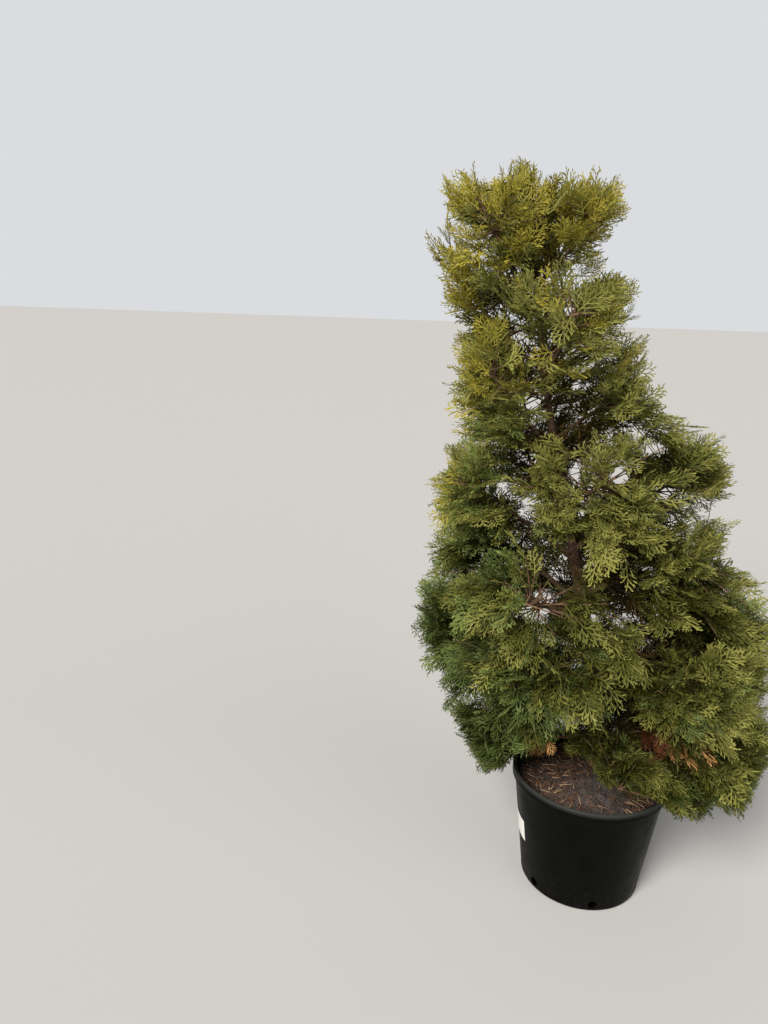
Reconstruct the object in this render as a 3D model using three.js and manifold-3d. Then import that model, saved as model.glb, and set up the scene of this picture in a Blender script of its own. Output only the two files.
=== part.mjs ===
// A young thuja, about 1.2 m tall, in a black nursery pot. Millimetres, +Z up.
// The origin is the middle of the pot's flat underside. +X is to the right and -Y is towards the viewer.
// The pot holds a mound of soil, and one leaning trunk stands on the mound. Boughs leave the trunk in
// tiers and rise or spread to masses of flat, fan-shaped sprays, and each mass keeps to its own cell.
import * as THREE from "three";
import { mergeVertices } from "three/addons/utils/BufferGeometryUtils.js";
import Module from "manifold-3d";

const wasm = await Module();
wasm.setup();

// Pot: a rolled lip, a tapered wall and drain holes low in the wall.
const POT_HEIGHT = 213;
const LIP_RADIUS = 134;
const LIP_HEIGHT = 17;
const LIP_STEP = 5;
const BASE_RADIUS = 104;
const BASE_CORNER = 7;
const POT_WALL = 3;
const POT_FLOOR = 4;
const POT_SIDES = 32;
const EDGE_ROUND = 3; // on the lip's and the wall's edges
const DRAIN_COUNT = 6;
const DRAIN_RADIUS = 8;
const DRAIN_HEIGHT = 15;
const DRAIN_CUT = 40; // long enough to go through the slanted wall
const DRAIN_SIDES = 8;

// Soil: fills the pot, lower at the wall and mounded under the trunk.
const SOIL_EDGE = 190;
const MOUND_TOP = 214;
const SOIL_RINGS = [34, 54, 75, 96, 112]; // the first is the edge of the trunk's level seat
const SOIL_ROUGHNESS = 2.5;

// Trunk: leans to the left as it rises, with a flare where it meets the soil.
// It stands a little to the right of the pot's middle and behind it.
const TRUNK_TOP = 1072;
const TRUNK_ROOT_X = 20;
const TRUNK_ROOT_Y = 17;
const TRUNK_LEAN = 0.215;
const TRUNK_SWAY = 9; // of its one slow bend, to the sides
const SWAY_DEPTH = 0.6; // of that, front to back
const TRUNK_RADIUS = 14;
const TRUNK_TIP_RADIUS = 2.6;
const TRUNK_TAPER = 0.85; // under 1, so that it thins soonest near the soil
const FLARE_RADIUS = 24;
const FLARE_RISE = 38;
const TRUNK_RINGS = 15;
const TRUNK_CROWDING = 1.35; // over 1, so that its rings are closer where it flares
const TRUNK_SIDES = 10;

// The crown's reach from the trunk at each height, to the left, to the right, and front to back.
const CROWN_TOP = 1206;
const CROWN_REACH = [
  { height: 100, left: 150, right: 276, depth: 168 },
  { height: 260, left: 260, right: 320, depth: 252 },
  { height: 500, left: 322, right: 320, depth: 296 },
  { height: 600, left: 290, right: 298, depth: 272 },
  { height: 760, left: 206, right: 284, depth: 222 },
  { height: 880, left: 164, right: 194, depth: 174 },
  { height: 1060, left: 172, right: 152, depth: 154 },
  { height: 1150, left: 152, right: 130, depth: 134 },
  { height: CROWN_TOP, left: 108, right: 102, depth: 96 },
];
// The crown's lowest reach on each side: it hangs beyond the pot on the right and clears the soil in front.
const HEM_RIGHT = 104;
const HEM_LEFT = 172;
const HEM_FRONT = 264;
const HEM_BACK = 190;

// Tiers of masses: the height of their middles, how many, how far round they start, and how their stems rise.
const TIERS = [
  { name: "skirt", height: 286, count: 5, turn: -22, rise: -6, twigs: 9 },
  { name: "lower", height: 438, count: 5, turn: 16, rise: 8, twigs: 9 },
  { name: "waist", height: 586, count: 4, turn: -32, rise: 20, twigs: 8 },
  { name: "middle", height: 726, count: 4, turn: 12, rise: 30, twigs: 8 },
  { name: "upper", height: 858, count: 3, turn: -18, rise: 40, twigs: 8 },
  { name: "shoulder", height: 986, count: 3, turn: 42, rise: 46, twigs: 8 },
  { name: "crest", height: 1096, count: 3, turn: -24, rise: 52, twigs: 7 },
];
const TIER_STAGGER = 20; // every other mass of a tier stands this much higher, and the rest as much lower
const MASS_SHARE = 0.58; // of the crown's reach, from the trunk to a mass's middle
const SKIRT_DROOP = 48; // the skirt's right-hand masses hang lower by this
const TOP_NAME = "top";
const TOP_TWIGS = 7;
const TIP_LENGTH = 20; // of the trunk's end, whose direction the top mass carries on
const CELL_MARGIN = 1.2; // from a mass to the plane halfway to the next mass
const STEM_BACK = 62; // a mass's stem starts this far inside its middle
const SEAT_GAP = 0.3; // between pieces that carry each other

// Boughs, twigs and sprays.
const BOUGH_ROOT_RADIUS = 6;
const BOUGH_TIP_RADIUS = 2.6;
const BOUGH_TRUNK_SHARE = 0.6; // no bough is thicker than this share of the trunk where it leaves it
const BOUGH_SPACING = 12; // the boughs of a tier leave the trunk at heights this far apart
const BOUGH_BEND = 0.36; // how long a bough holds its first and its last direction, as a share of its length
const BOUGH_LEAVE = 37; // degrees above level at which a bough leaves the trunk
const BOUGH_LOWEST = 24; // above the soil
const BOUGH_CLIMB = 0.25; // how far a level bough climbs, as a share of its reach; an upright one climbs it all
const BOUGH_STOUT_SHARE = 0.55; // a very short bough's root, as a share of a full one's
const BOUGH_STOUT_LENGTH = 300; // the rest of that root is gained over this length
const BOUGH_TAPER_LEAST = 0.3;
const BOUGH_RINGS = 4;
const BOUGH_SIDES = 5;
const STEM_RADIUS = 2.4;
const STEM_SIDES = 5;
const STEM_SHARE = 0.7; // of the way through its cell
const TWIG_RADIUS = 1.7;
const TWIG_TAPER = 0.7;
const TWIG_SIDES = 3;
const TWIG_FIRST = 0.22; // where the first twig leaves, along the stem's own way through the cell
const TWIG_SPREAD = 0.46; // and how much further the last one does
const TWIG_SPLAY = { first: 108, closing: 60, power: 1.3, scatter: 14, last: 10 }; // degrees from the stem
const TWIG_SHARE = 0.36; // of the way from the stem to the cell's edge, before the spray takes over
const TURN_SCATTER = 30;
const GOLDEN_TURN = 137.5077;
const SPRAY_TILT = 100; // degrees that the sprays' faces are scattered over
const SPRAY_SUNK = 14; // a spray's root is sunk this far along its twig
const SPRAY_SHORTEST = 46;
const SPRAY_LONGEST = 165;
const SPRAY_THICKNESS = 4.6;
const SPRAY_BEND = 0.1;
const SPRAY_EDGE_LEAST = 2; // half a spray's width where the cell leaves it no more
const SPRAY_TRIES = 5;
const SPRAY_SHRINK = 0.9; // from one try to the next
const CORE_SHARE = 0.6; // a dense mass's core, as a share of its cell
const CORE_INNER_SHARE = 0.95; // and towards the trunk
const CORE_LARGEST = 105;
const CORE_SMALLEST = 10;
const CORE_UNEVENNESS = 0.3;
const SUNNY_FROM = 800; // masses above this height are yellower
const LIMB_CLEARANCE = 1; // between a spray and any limb
const TUB_CLEARANCE = 3; // between a spray and the pot or the soil
const TOUCHING = 1e-6; // cubic millimetres shared by pieces that still count as clear

const UP = new THREE.Vector3(0, 0, 1);
const radians = THREE.MathUtils.degToRad;
const vec = (x, y, z) => new THREE.Vector3(x, y, z);
const turned = (vector, axis, degrees) => vector.clone().applyAxisAngle(axis, radians(degrees)).normalize();

// A repeatable stream of numbers from 0 to 1.
function seeded(seed) {
  let state = seed;
  return () => {
    state = (state * 16807) % 2147483647;
    return state / 2147483647;
  };
}

// A closed solid from loose points and triangles.
function solidFrom(points, triangles) {
  const vertProperties = new Float32Array(points.flatMap((p) => [p.x, p.y, p.z]));
  const triVerts = new Uint32Array(triangles.flat());
  return new wasm.Manifold(new wasm.Mesh({ numProp: 3, vertProperties, triVerts }));
}

// A geometry with its shared corners merged.
function merged(geometry) {
  const bare = geometry.index ? geometry.toNonIndexed() : geometry.clone();
  bare.deleteAttribute("normal");
  bare.deleteAttribute("uv");
  return mergeVertices(bare, 1e-3);
}

function solidOfGeometry(geometry) {
  const closed = merged(geometry);
  const vertProperties = closed.attributes.position.array;
  const triVerts = new Uint32Array(closed.index.array);
  return new wasm.Manifold(new wasm.Mesh({ numProp: 3, vertProperties, triVerts }));
}

function geometryOfSolid(solid) {
  const mesh = solid.getMesh();
  const positions = new Float32Array(mesh.numVert * 3);
  for (let i = 0; i < mesh.numVert; i++) {
    positions.set(mesh.vertProperties.subarray(i * mesh.numProp, i * mesh.numProp + 3), i * 3);
  }
  const geometry = new THREE.BufferGeometry();
  geometry.setAttribute("position", new THREE.BufferAttribute(positions, 3));
  geometry.setIndex(new THREE.BufferAttribute(new Uint32Array(mesh.triVerts), 1));
  const flat = geometry.toNonIndexed();
  flat.computeVertexNormals();
  return flat;
}

function largestBody(solid) {
  return solid.decompose().reduce((best, body) => (body.volume() > best.volume() ? body : best));
}

function finished(name, solid, material) {
  const mesh = new THREE.Mesh(geometryOfSolid(solid), material);
  mesh.name = name;
  return mesh;
}

// A limb with a round section along a path, from lists of centres and radii, closed by flat ends.
// Each ring is square to its own direction.
function limbSolid(centres, radii, sides, directions) {
  const points = [];
  const triangles = [];
  const last = centres.length - 1;
  let across = null;
  centres.forEach((centre, i) => {
    const along = directions[i];
    const start = across ?? (Math.abs(along.z) > 0.8 ? vec(1, 0, 0) : UP);
    across = start.clone().addScaledVector(along, -start.dot(along)).normalize();
    const third = along.clone().cross(across);
    for (let k = 0; k < sides; k++) {
      const turn = (2 * Math.PI * k) / sides;
      points.push(
        centre.clone()
          .addScaledVector(across, radii[i] * Math.cos(turn))
          .addScaledVector(third, radii[i] * Math.sin(turn)),
      );
    }
  });
  for (let i = 0; i < last; i++) {
    for (let k = 0; k < sides; k++) {
      const a = i * sides + k;
      const b = i * sides + ((k + 1) % sides);
      triangles.push([a, b, b + sides], [a, b + sides, a + sides]);
    }
  }
  for (let k = 1; k < sides - 1; k++) {
    triangles.push([0, k + 1, k]);
    triangles.push([last * sides, last * sides + k, last * sides + k + 1]);
  }
  return solidFrom(points, triangles);
}

// A straight limb that tapers from one end to the other.
function stickSolid(start, end, radii, sides) {
  const along = end.clone().sub(start).normalize();
  return limbSolid([start, end], radii, sides, [along, along]);
}

// The trunk's middle line at a height: a steady lean with one slow bend.
function trunkAxis(height) {
  const rise = height - MOUND_TOP;
  const share = rise / (TRUNK_TOP - MOUND_TOP);
  const sideSway = TRUNK_SWAY * Math.sin(2 * Math.PI * share);
  const deepSway = SWAY_DEPTH * TRUNK_SWAY * Math.sin(1.5 * Math.PI * share);
  return vec(TRUNK_ROOT_X - TRUNK_LEAN * rise + sideSway, TRUNK_ROOT_Y + deepSway, height);
}

function trunkRadius(height) {
  const rise = Math.max(0, height - MOUND_TOP);
  const share = Math.min(1, rise / (TRUNK_TOP - MOUND_TOP));
  const taper = TRUNK_RADIUS + (TRUNK_TIP_RADIUS - TRUNK_RADIUS) * Math.pow(share, TRUNK_TAPER);
  const flare = (FLARE_RADIUS - TRUNK_RADIUS) * Math.pow(Math.max(0, 1 - rise / FLARE_RISE), 2);
  return taper + flare;
}

// How far the crown reaches from the trunk at a height, in a direction round it.
function crownReach(angle, height) {
  const rows = CROWN_REACH;
  const upper = Math.max(1, rows.findIndex((row) => row.height >= height));
  const [low, high] = [rows[upper - 1], rows[upper]];
  const t = Math.min(1, Math.max(0, (height - low.height) / (high.height - low.height)));
  const mix = (key) => low[key] + (high[key] - low[key]) * t;
  const side = Math.cos(angle) > 0 ? mix("right") : mix("left");
  return 1 / Math.hypot(Math.cos(angle) / side, Math.sin(angle) / mix("depth"));
}

function crownHem(angle) {
  const side = Math.cos(angle) > 0 ? HEM_RIGHT : HEM_LEFT;
  const deep = Math.sin(angle) < 0 ? HEM_FRONT : HEM_BACK;
  return side * Math.cos(angle) ** 2 + deep * Math.sin(angle) ** 2;
}

// The masses of the crown: each has a middle and the direction of its stem.
function massPlan() {
  const plan = [];
  TIERS.forEach((tier, t) => {
    for (let k = 0; k < tier.count; k++) {
      const angle = radians(tier.turn + (360 * k) / tier.count);
      const droop = t === 0 ? SKIRT_DROOP * Math.max(0, Math.cos(angle)) : 0;
      const stagger = (k + t) % 2 === 0 ? TIER_STAGGER : -TIER_STAGGER;
      const height = tier.height + stagger - droop;
      const outward = vec(Math.cos(angle), Math.sin(angle), 0);
      const centre = trunkAxis(height).addScaledVector(outward, MASS_SHARE * crownReach(angle, height));
      const rise = radians(tier.rise);
      const along = outward.clone().multiplyScalar(Math.cos(rise)).addScaledVector(UP, Math.sin(rise));
      const lower = BOUGH_SPACING * (k % 3);
      const name = `${tier.name}_${k + 1}`;
      plan.push({ name, centre, along, angle, lower, twigs: tier.twigs, seed: 101 + 37 * plan.length });
    }
  });
  const tip = trunkAxis(TRUNK_TOP);
  const along = tip.clone().sub(trunkAxis(TRUNK_TOP - TIP_LENGTH)).normalize();
  const centre = tip.clone().addScaledVector(along, STEM_BACK + 3 * SEAT_GAP);
  plan.push({ name: TOP_NAME, centre, along, angle: 0, twigs: TOP_TWIGS, seed: 101 + 37 * plan.length });
  return plan;
}

// The planes halfway between a mass and its neighbours.
function cellPlanes(mass, plan) {
  return plan.filter((other) => other !== mass).map((other) => {
    const normal = other.centre.clone().sub(mass.centre);
    const middle = mass.centre.clone().addScaledVector(normal, 0.5);
    normal.normalize();
    return { normal, limit: normal.dot(middle) - CELL_MARGIN };
  });
}

function insideCrown(point) {
  if (point.z > CROWN_TOP) return false;
  const axis = trunkAxis(point.z);
  const [dx, dy] = [point.x - axis.x, point.y - axis.y];
  const angle = Math.atan2(dy, dx);
  return Math.hypot(dx, dy) < crownReach(angle, point.z) && point.z > crownHem(angle);
}

function insideCell(point, planes) {
  return planes.every((plane) => plane.normal.dot(point) < plane.limit);
}

// How far a ray runs before it leaves the mass's cell or the crown.
function roomAlong(start, direction, planes) {
  const step = 4;
  const farthest = 400;
  let far = 0;
  while (far < farthest) {
    const point = start.clone().addScaledVector(direction, far + step);
    if (!insideCell(point, planes) || !insideCrown(point)) break;
    far += step;
  }
  return far;
}

// Bough: from inside the trunk, up or out along one bend, to where it enters its mass.
function boughPath(mass) {
  const end = mass.centre.clone().addScaledVector(mass.along, -STEM_BACK - SEAT_GAP);
  const axis = trunkAxis(end.z);
  const distance = Math.hypot(end.x - axis.x, end.y - axis.y);
  const climb = distance * (BOUGH_CLIMB + (1 - BOUGH_CLIMB) * Math.max(0, mass.along.z));
  const start = trunkAxis(Math.max(MOUND_TOP + BOUGH_LOWEST, end.z - climb - mass.lower));
  const leave = vec(Math.cos(mass.angle), Math.sin(mass.angle), Math.tan(radians(BOUGH_LEAVE))).normalize();
  const hold = BOUGH_BEND * end.distanceTo(start);
  return new THREE.CubicBezierCurve3(
    start,
    start.clone().addScaledVector(leave, hold),
    end.clone().addScaledVector(mass.along, -hold),
    end,
  );
}

function boughSolid(mass, grow) {
  const path = boughPath(mass);
  const stout = BOUGH_ROOT_RADIUS * Math.min(1, BOUGH_STOUT_SHARE + path.getLength() / BOUGH_STOUT_LENGTH);
  const fitting = Math.min(stout, BOUGH_TRUNK_SHARE * trunkRadius(path.v0.z));
  const taper = Math.max(BOUGH_TAPER_LEAST, fitting - BOUGH_TIP_RADIUS);
  const shares = Array.from({ length: BOUGH_RINGS }, (_, i) => i / (BOUGH_RINGS - 1));
  const centres = shares.map((share) => path.getPoint(share));
  const directions = shares.map((share) => path.getTangent(share));
  const radii = shares.map((share) => grow + BOUGH_TIP_RADIUS + taper * (1 - share));
  return limbSolid(centres, radii, BOUGH_SIDES, directions);
}

// Trunk: its first ring is level, so that the cut under it is flat on the soil.
function trunkSolid(grow, foot) {
  const shares = Array.from({ length: TRUNK_RINGS }, (_, i) => (i / (TRUNK_RINGS - 1)) ** TRUNK_CROWDING);
  const heights = shares.map((share) => foot + (TRUNK_TOP - foot) * share);
  const centres = heights.map(trunkAxis);
  const directions = heights.map((h) => trunkAxis(h + 1).sub(trunkAxis(h - 1)).normalize());
  directions[0] = UP;
  return limbSolid(centres, heights.map((h) => trunkRadius(h) + grow), TRUNK_SIDES, directions);
}

// Pot: a closed profile turned round its axis, from the middle of its foot up and over the lip.
function potSolid() {
  const neck = LIP_RADIUS - LIP_STEP;
  const under = POT_HEIGHT - LIP_HEIGHT;
  const profile = [
    [0, 0],
    [BASE_RADIUS - BASE_CORNER, 0],
    [BASE_RADIUS - EDGE_ROUND / 2, EDGE_ROUND / 2],
    [BASE_RADIUS, BASE_CORNER],
    [neck, under],
    [LIP_RADIUS, under + EDGE_ROUND / 2],
    [LIP_RADIUS, POT_HEIGHT - EDGE_ROUND],
    [LIP_RADIUS - EDGE_ROUND, POT_HEIGHT],
    [neck, POT_HEIGHT],
    [neck - POT_WALL, POT_HEIGHT - EDGE_ROUND],
    [neck - POT_WALL, under],
    [BASE_RADIUS - POT_WALL, POT_FLOOR],
    [0, POT_FLOOR],
  ];
  const turnedProfile = new THREE.LatheGeometry(profile.map(([r, z]) => new THREE.Vector2(r, z)), POT_SIDES);
  let pot = solidOfGeometry(turnedProfile.rotateX(Math.PI / 2));
  for (let k = 0; k < DRAIN_COUNT; k++) {
    const hole = new THREE.CylinderGeometry(DRAIN_RADIUS, DRAIN_RADIUS, DRAIN_CUT, DRAIN_SIDES)
      .rotateZ(Math.PI / 2)
      .translate(BASE_RADIUS, 0, DRAIN_HEIGHT)
      .rotateZ((2 * Math.PI * (k + 0.5)) / DRAIN_COUNT);
    pot = pot.subtract(solidOfGeometry(hole));
  }
  return pot;
}

// Soil: a rough mound with a level seat for the trunk, clear of the pot all round.
function soilSolid() {
  const neck = LIP_RADIUS - LIP_STEP - POT_WALL - SEAT_GAP;
  const foot = BASE_RADIUS - POT_WALL - SEAT_GAP;
  const wallSlope = (neck - foot) / (POT_HEIGHT - LIP_HEIGHT - POT_FLOOR);
  const edge = foot + wallSlope * (SOIL_EDGE - POT_FLOOR) - SEAT_GAP;
  const rings = [...SOIL_RINGS, edge];
  const outer = rings.length - 1;
  const turnOf = (k) => (2 * Math.PI * k) / POT_SIDES;
  const points = [vec(TRUNK_ROOT_X, TRUNK_ROOT_Y, MOUND_TOP)];
  rings.forEach((radius, ring) => {
    const share = ring / outer;
    const level = MOUND_TOP + (SOIL_EDGE - MOUND_TOP) * THREE.MathUtils.smoothstep(share, 0, 1);
    const shiftX = TRUNK_ROOT_X * (1 - share);
    const shiftY = TRUNK_ROOT_Y * (1 - share);
    for (let k = 0; k < POT_SIDES; k++) {
      const turn = turnOf(k);
      const clods = Math.sin(3 * turn + 5 * share) * Math.sin(5 * turn - 9 * share);
      const lift = ring === 0 || ring === outer ? 0 : SOIL_ROUGHNESS * clods;
      points.push(vec(shiftX + radius * Math.cos(turn), shiftY + radius * Math.sin(turn), level + lift));
    }
  });
  for (let k = 0; k < POT_SIDES; k++) {
    points.push(vec(foot * Math.cos(turnOf(k)), foot * Math.sin(turnOf(k)), POT_FLOOR + SEAT_GAP));
  }
  points.push(vec(0, 0, POT_FLOOR + SEAT_GAP));
  const bottom = points.length - 1;
  const at = (ring, k) => 1 + ring * POT_SIDES + (k % POT_SIDES);
  const triangles = [];
  for (let k = 0; k < POT_SIDES; k++) {
    triangles.push([0, at(0, k), at(0, k + 1)]);
    for (let ring = 0; ring <= outer; ring++) {
      triangles.push([at(ring, k), at(ring + 1, k), at(ring + 1, k + 1)]);
      triangles.push([at(ring, k), at(ring + 1, k + 1), at(ring, k + 1)]);
    }
    triangles.push([bottom, at(outer + 1, k + 1), at(outer + 1, k)]);
  }
  return solidFrom(points, triangles);
}

// Spray: one flat fan of branchlets with deep notches, thick in the middle and thin at its edge.
// Each point is a share of the spray's length, along it and across it, and is drawn in where the cell ends.
const SPRAY_SIDE = [[0.1, 0.06], [0.36, 0.55], [0.49, 0.2], [0.75, 0.46], [0.73, 0.14]];
const SPRAY_MIDDLE = 0.45;

function sprayPoints(spray, planes) {
  const along = (u, lift) => spray.root.clone()
    .addScaledVector(spray.along, u * spray.length)
    .addScaledVector(spray.face, lift - SPRAY_BEND * spray.length * u * u);
  const sidePoint = ([u, v], way) => {
    const start = along(u, 0);
    const direction = spray.across.clone().multiplyScalar(way);
    const reach = Math.min(v * spray.length, Math.max(SPRAY_EDGE_LEAST, roomAlong(start, direction, planes)));
    return start.addScaledVector(direction, reach);
  };
  const right = SPRAY_SIDE.map((point) => sidePoint(point, 1));
  const left = SPRAY_SIDE.map((point) => sidePoint(point, -1)).reverse();
  const half = SPRAY_THICKNESS / 2;
  return [along(0, 0), ...right, along(1, 0), ...left, along(SPRAY_MIDDLE, half), along(SPRAY_MIDDLE, -half)];
}

function spraySolid(points) {
  const rim = points.length - 2;
  const triangles = [];
  for (let k = 0; k < rim; k++) {
    const next = (k + 1) % rim;
    triangles.push([next, k, rim], [k, next, rim + 1]);
  }
  const solid = solidFrom(points, triangles);
  return solid.volume() > 0 ? solid : solidFrom(points, triangles.map(([a, b, c]) => [a, c, b]));
}

// The seeded rule that twigs follow: each leaves the stem further along it and closer to its direction
// than the one before, a golden turn round it, and ends in one spray. The last one carries the stem on.
function twigRule(mass, planes) {
  const random = seeded(mass.seed);
  const start = mass.centre.clone().addScaledVector(mass.along, -STEM_BACK);
  const way = STEM_BACK + roomAlong(mass.centre, mass.along, planes);
  const level = Math.abs(mass.along.z) > 0.9 ? vec(1, 0, 0) : UP;
  const acrossStem = level.clone().addScaledVector(mass.along, -level.dot(mass.along)).normalize();
  const firstTurn = 360 * random();
  const twigs = [];
  for (let k = 0; k < mass.twigs; k++) {
    const order = (k + 0.5) / mass.twigs;
    const turn = firstTurn + GOLDEN_TURN * k + TURN_SCATTER * (random() - 0.5);
    const opening = TWIG_SPLAY.first - TWIG_SPLAY.closing * order ** TWIG_SPLAY.power;
    const scattered = opening + TWIG_SPLAY.scatter * (random() - 0.5);
    const splay = radians(k === mass.twigs - 1 ? TWIG_SPLAY.last : scattered);
    const root = start.clone().addScaledVector(mass.along, way * (TWIG_FIRST + TWIG_SPREAD * order));
    const side = turned(acrossStem, mass.along, turn);
    const along = mass.along.clone().multiplyScalar(Math.cos(splay)).addScaledVector(side, Math.sin(splay));
    const flat = along.clone().cross(mass.along).normalize();
    const across = turned(flat, along, SPRAY_TILT * (random() - 0.5));
    twigs.push({ root, along, across });
  }
  return { start, end: start.clone().addScaledVector(mass.along, STEM_SHARE * way), twigs };
}

// The longest spray on a twig that stays in the cell and clear of every limb, or none.
function fittingSpray(twig, tip, longest, planes, isClear) {
  const face = twig.along.clone().cross(twig.across).normalize();
  const root = tip.clone().addScaledVector(twig.along, -SPRAY_SUNK);
  for (let attempt = 0; attempt < SPRAY_TRIES; attempt++) {
    const length = longest * SPRAY_SHRINK ** attempt;
    if (length < SPRAY_SHORTEST) return null;
    const points = sprayPoints({ root, along: twig.along, across: twig.across, face, length }, planes);
    if (!points.every((point) => insideCell(point, planes))) continue;
    const spray = spraySolid(points);
    if (isClear(spray)) return spray;
  }
  return null;
}

// A mass: stem, twigs and sprays, with a small dense core, all joined and clear of every limb.
function massSolid(mass, plan, keepOut) {
  const planes = cellPlanes(mass, plan);
  const rule = twigRule(mass, planes);
  const isClear = (solid) => solid.intersect(keepOut).volume() < TOUCHING;
  const parts = [stickSolid(rule.start, rule.end, [STEM_RADIUS, TWIG_RADIUS], STEM_SIDES)];
  const core = coreSolid(mass, planes).subtract(keepOut);
  if (!core.isEmpty()) parts.push(largestBody(core));
  for (const twig of rule.twigs) {
    const room = roomAlong(twig.root, twig.along, planes);
    const tip = twig.root.clone().addScaledVector(twig.along, TWIG_SHARE * room);
    const stick = stickSolid(twig.root, tip, [TWIG_RADIUS, TWIG_TAPER * TWIG_RADIUS], TWIG_SIDES);
    const longest = Math.min(SPRAY_LONGEST, (1 - TWIG_SHARE) * room + SPRAY_SUNK);
    const spray = isClear(stick) ? fittingSpray(twig, tip, longest, planes, isClear) : null;
    if (spray) parts.push(stick, spray);
  }
  return largestBody(wasm.Manifold.union(parts));
}

// The core: the mass's own cell, shrunk towards its middle, on the corners of a ball.
function coreSolid(mass, planes) {
  const ball = merged(new THREE.DodecahedronGeometry(1));
  const position = ball.attributes.position;
  const random = seeded(mass.seed + 7);
  const points = [];
  for (let i = 0; i < position.count; i++) {
    const direction = new THREE.Vector3().fromBufferAttribute(position, i).normalize();
    const inward = Math.max(0, -direction.dot(mass.along));
    const share = CORE_SHARE + (CORE_INNER_SHARE - CORE_SHARE) * inward;
    const reach = Math.min(CORE_LARGEST, share * roomAlong(mass.centre, direction, planes));
    const uneven = reach * (1 - CORE_UNEVENNESS / 2 + CORE_UNEVENNESS * random());
    points.push(mass.centre.clone().addScaledVector(direction, Math.max(CORE_SMALLEST, uneven)));
  }
  const corners = ball.index.array;
  const triangles = [];
  for (let i = 0; i < corners.length; i += 3) {
    triangles.push([corners[i], corners[i + 1], corners[i + 2]]);
  }
  return solidFrom(points, triangles);
}

const plastic = new THREE.MeshStandardMaterial({ color: 0x17191a, roughness: 0.5, metalness: 0 });
const earth = new THREE.MeshStandardMaterial({ color: 0x453528, roughness: 1, metalness: 0 });
const bark = new THREE.MeshStandardMaterial({ color: 0x6b4c37, roughness: 0.9, metalness: 0 });
const shaded = new THREE.MeshStandardMaterial({ color: 0x47592a, roughness: 0.75, metalness: 0 });
const sunny = new THREE.MeshStandardMaterial({ color: 0x6b6a26, roughness: 0.75, metalness: 0 });

const container = new THREE.Group();
container.add(finished("pot", potSolid(), plastic));
container.add(finished("soil", soilSolid(), earth));

// The trunk's foot is clear of the soil by the seat gap. The boughs are cut clear of the trunk by as much.
const trunkFoot = MOUND_TOP + SEAT_GAP;
const plan = massPlan();
const boughMasses = plan.filter((mass) => mass.name !== TOP_NAME);
const limbs = new THREE.Group();
limbs.add(finished("trunk", trunkSolid(0, trunkFoot), bark));
const trunkRoom = trunkSolid(SEAT_GAP, trunkFoot);
for (const mass of boughMasses) {
  limbs.add(finished(`bough_${mass.name}`, largestBody(boughSolid(mass, 0).subtract(trunkRoom)), bark));
}

// What no spray may touch: the limbs, and the pot and soil as one plain tub.
const tubTop = MOUND_TOP + TUB_CLEARANCE;
const tubRadius = LIP_RADIUS + TUB_CLEARANCE;
const tub = new THREE.CylinderGeometry(tubRadius, tubRadius, tubTop, POT_SIDES)
  .rotateX(Math.PI / 2)
  .translate(0, 0, tubTop / 2);
const keepOut = wasm.Manifold.union([
  solidOfGeometry(tub),
  trunkSolid(LIMB_CLEARANCE, trunkFoot),
  ...boughMasses.map((mass) => boughSolid(mass, LIMB_CLEARANCE)),
]);
const crown = new THREE.Group();
for (const mass of plan) {
  const tint = mass.centre.z > SUNNY_FROM ? sunny : shaded;
  crown.add(finished(`foliage_${mass.name}`, massSolid(mass, plan, keepOut), tint));
}

const plant = new THREE.Group();
plant.add(container, limbs, crown);

export default plant;
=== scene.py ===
# %% [markdown]
# # A thuja in a nursery pot
# This lesson dresses a small thuja, about 1.2 m tall, in a black pot. The frame that is loaded first holds
# the tree's plain solids: pot, soil, trunk, boughs and masses of foliage. Each step says what a piece is on
# the real tree, how it could be made in Blender, and why this way was chosen.

# %% Tools and frame
import math

import bpy
import numpy as np
from mathutils import Matrix, Vector, noise


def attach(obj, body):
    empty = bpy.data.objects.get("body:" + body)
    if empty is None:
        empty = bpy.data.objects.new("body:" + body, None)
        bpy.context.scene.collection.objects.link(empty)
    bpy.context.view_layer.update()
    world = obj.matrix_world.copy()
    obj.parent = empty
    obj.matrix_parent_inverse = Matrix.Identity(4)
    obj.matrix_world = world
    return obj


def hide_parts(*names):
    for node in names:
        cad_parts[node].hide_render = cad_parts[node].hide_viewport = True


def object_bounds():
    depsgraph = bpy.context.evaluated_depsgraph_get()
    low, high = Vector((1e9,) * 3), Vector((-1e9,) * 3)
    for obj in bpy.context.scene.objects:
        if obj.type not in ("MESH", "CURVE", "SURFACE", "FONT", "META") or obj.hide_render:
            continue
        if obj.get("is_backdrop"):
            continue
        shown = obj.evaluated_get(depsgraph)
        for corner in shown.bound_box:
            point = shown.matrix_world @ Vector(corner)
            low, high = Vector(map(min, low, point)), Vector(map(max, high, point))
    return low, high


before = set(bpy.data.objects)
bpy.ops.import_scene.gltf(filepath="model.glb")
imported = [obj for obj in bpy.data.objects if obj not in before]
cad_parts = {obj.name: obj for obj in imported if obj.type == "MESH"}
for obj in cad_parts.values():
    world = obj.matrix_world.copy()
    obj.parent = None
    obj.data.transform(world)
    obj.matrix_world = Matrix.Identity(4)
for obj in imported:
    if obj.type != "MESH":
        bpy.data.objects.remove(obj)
cad_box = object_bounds()
ROOT = "root"
MM = 0.001
print("frame:", len(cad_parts), "solids, top at", round(cad_box[1].z, 3), "m")

# %% [markdown]
# ## Camera
# The photograph was taken from about a metre above the ground, a little to the left of the pot, looking
# slightly down and with the horizon a touch tilted. A camera could be turned by hand until the picture fits.
# Here its place, pitch and roll are known, so its axes are written down and the camera takes them as they
# are.

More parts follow.
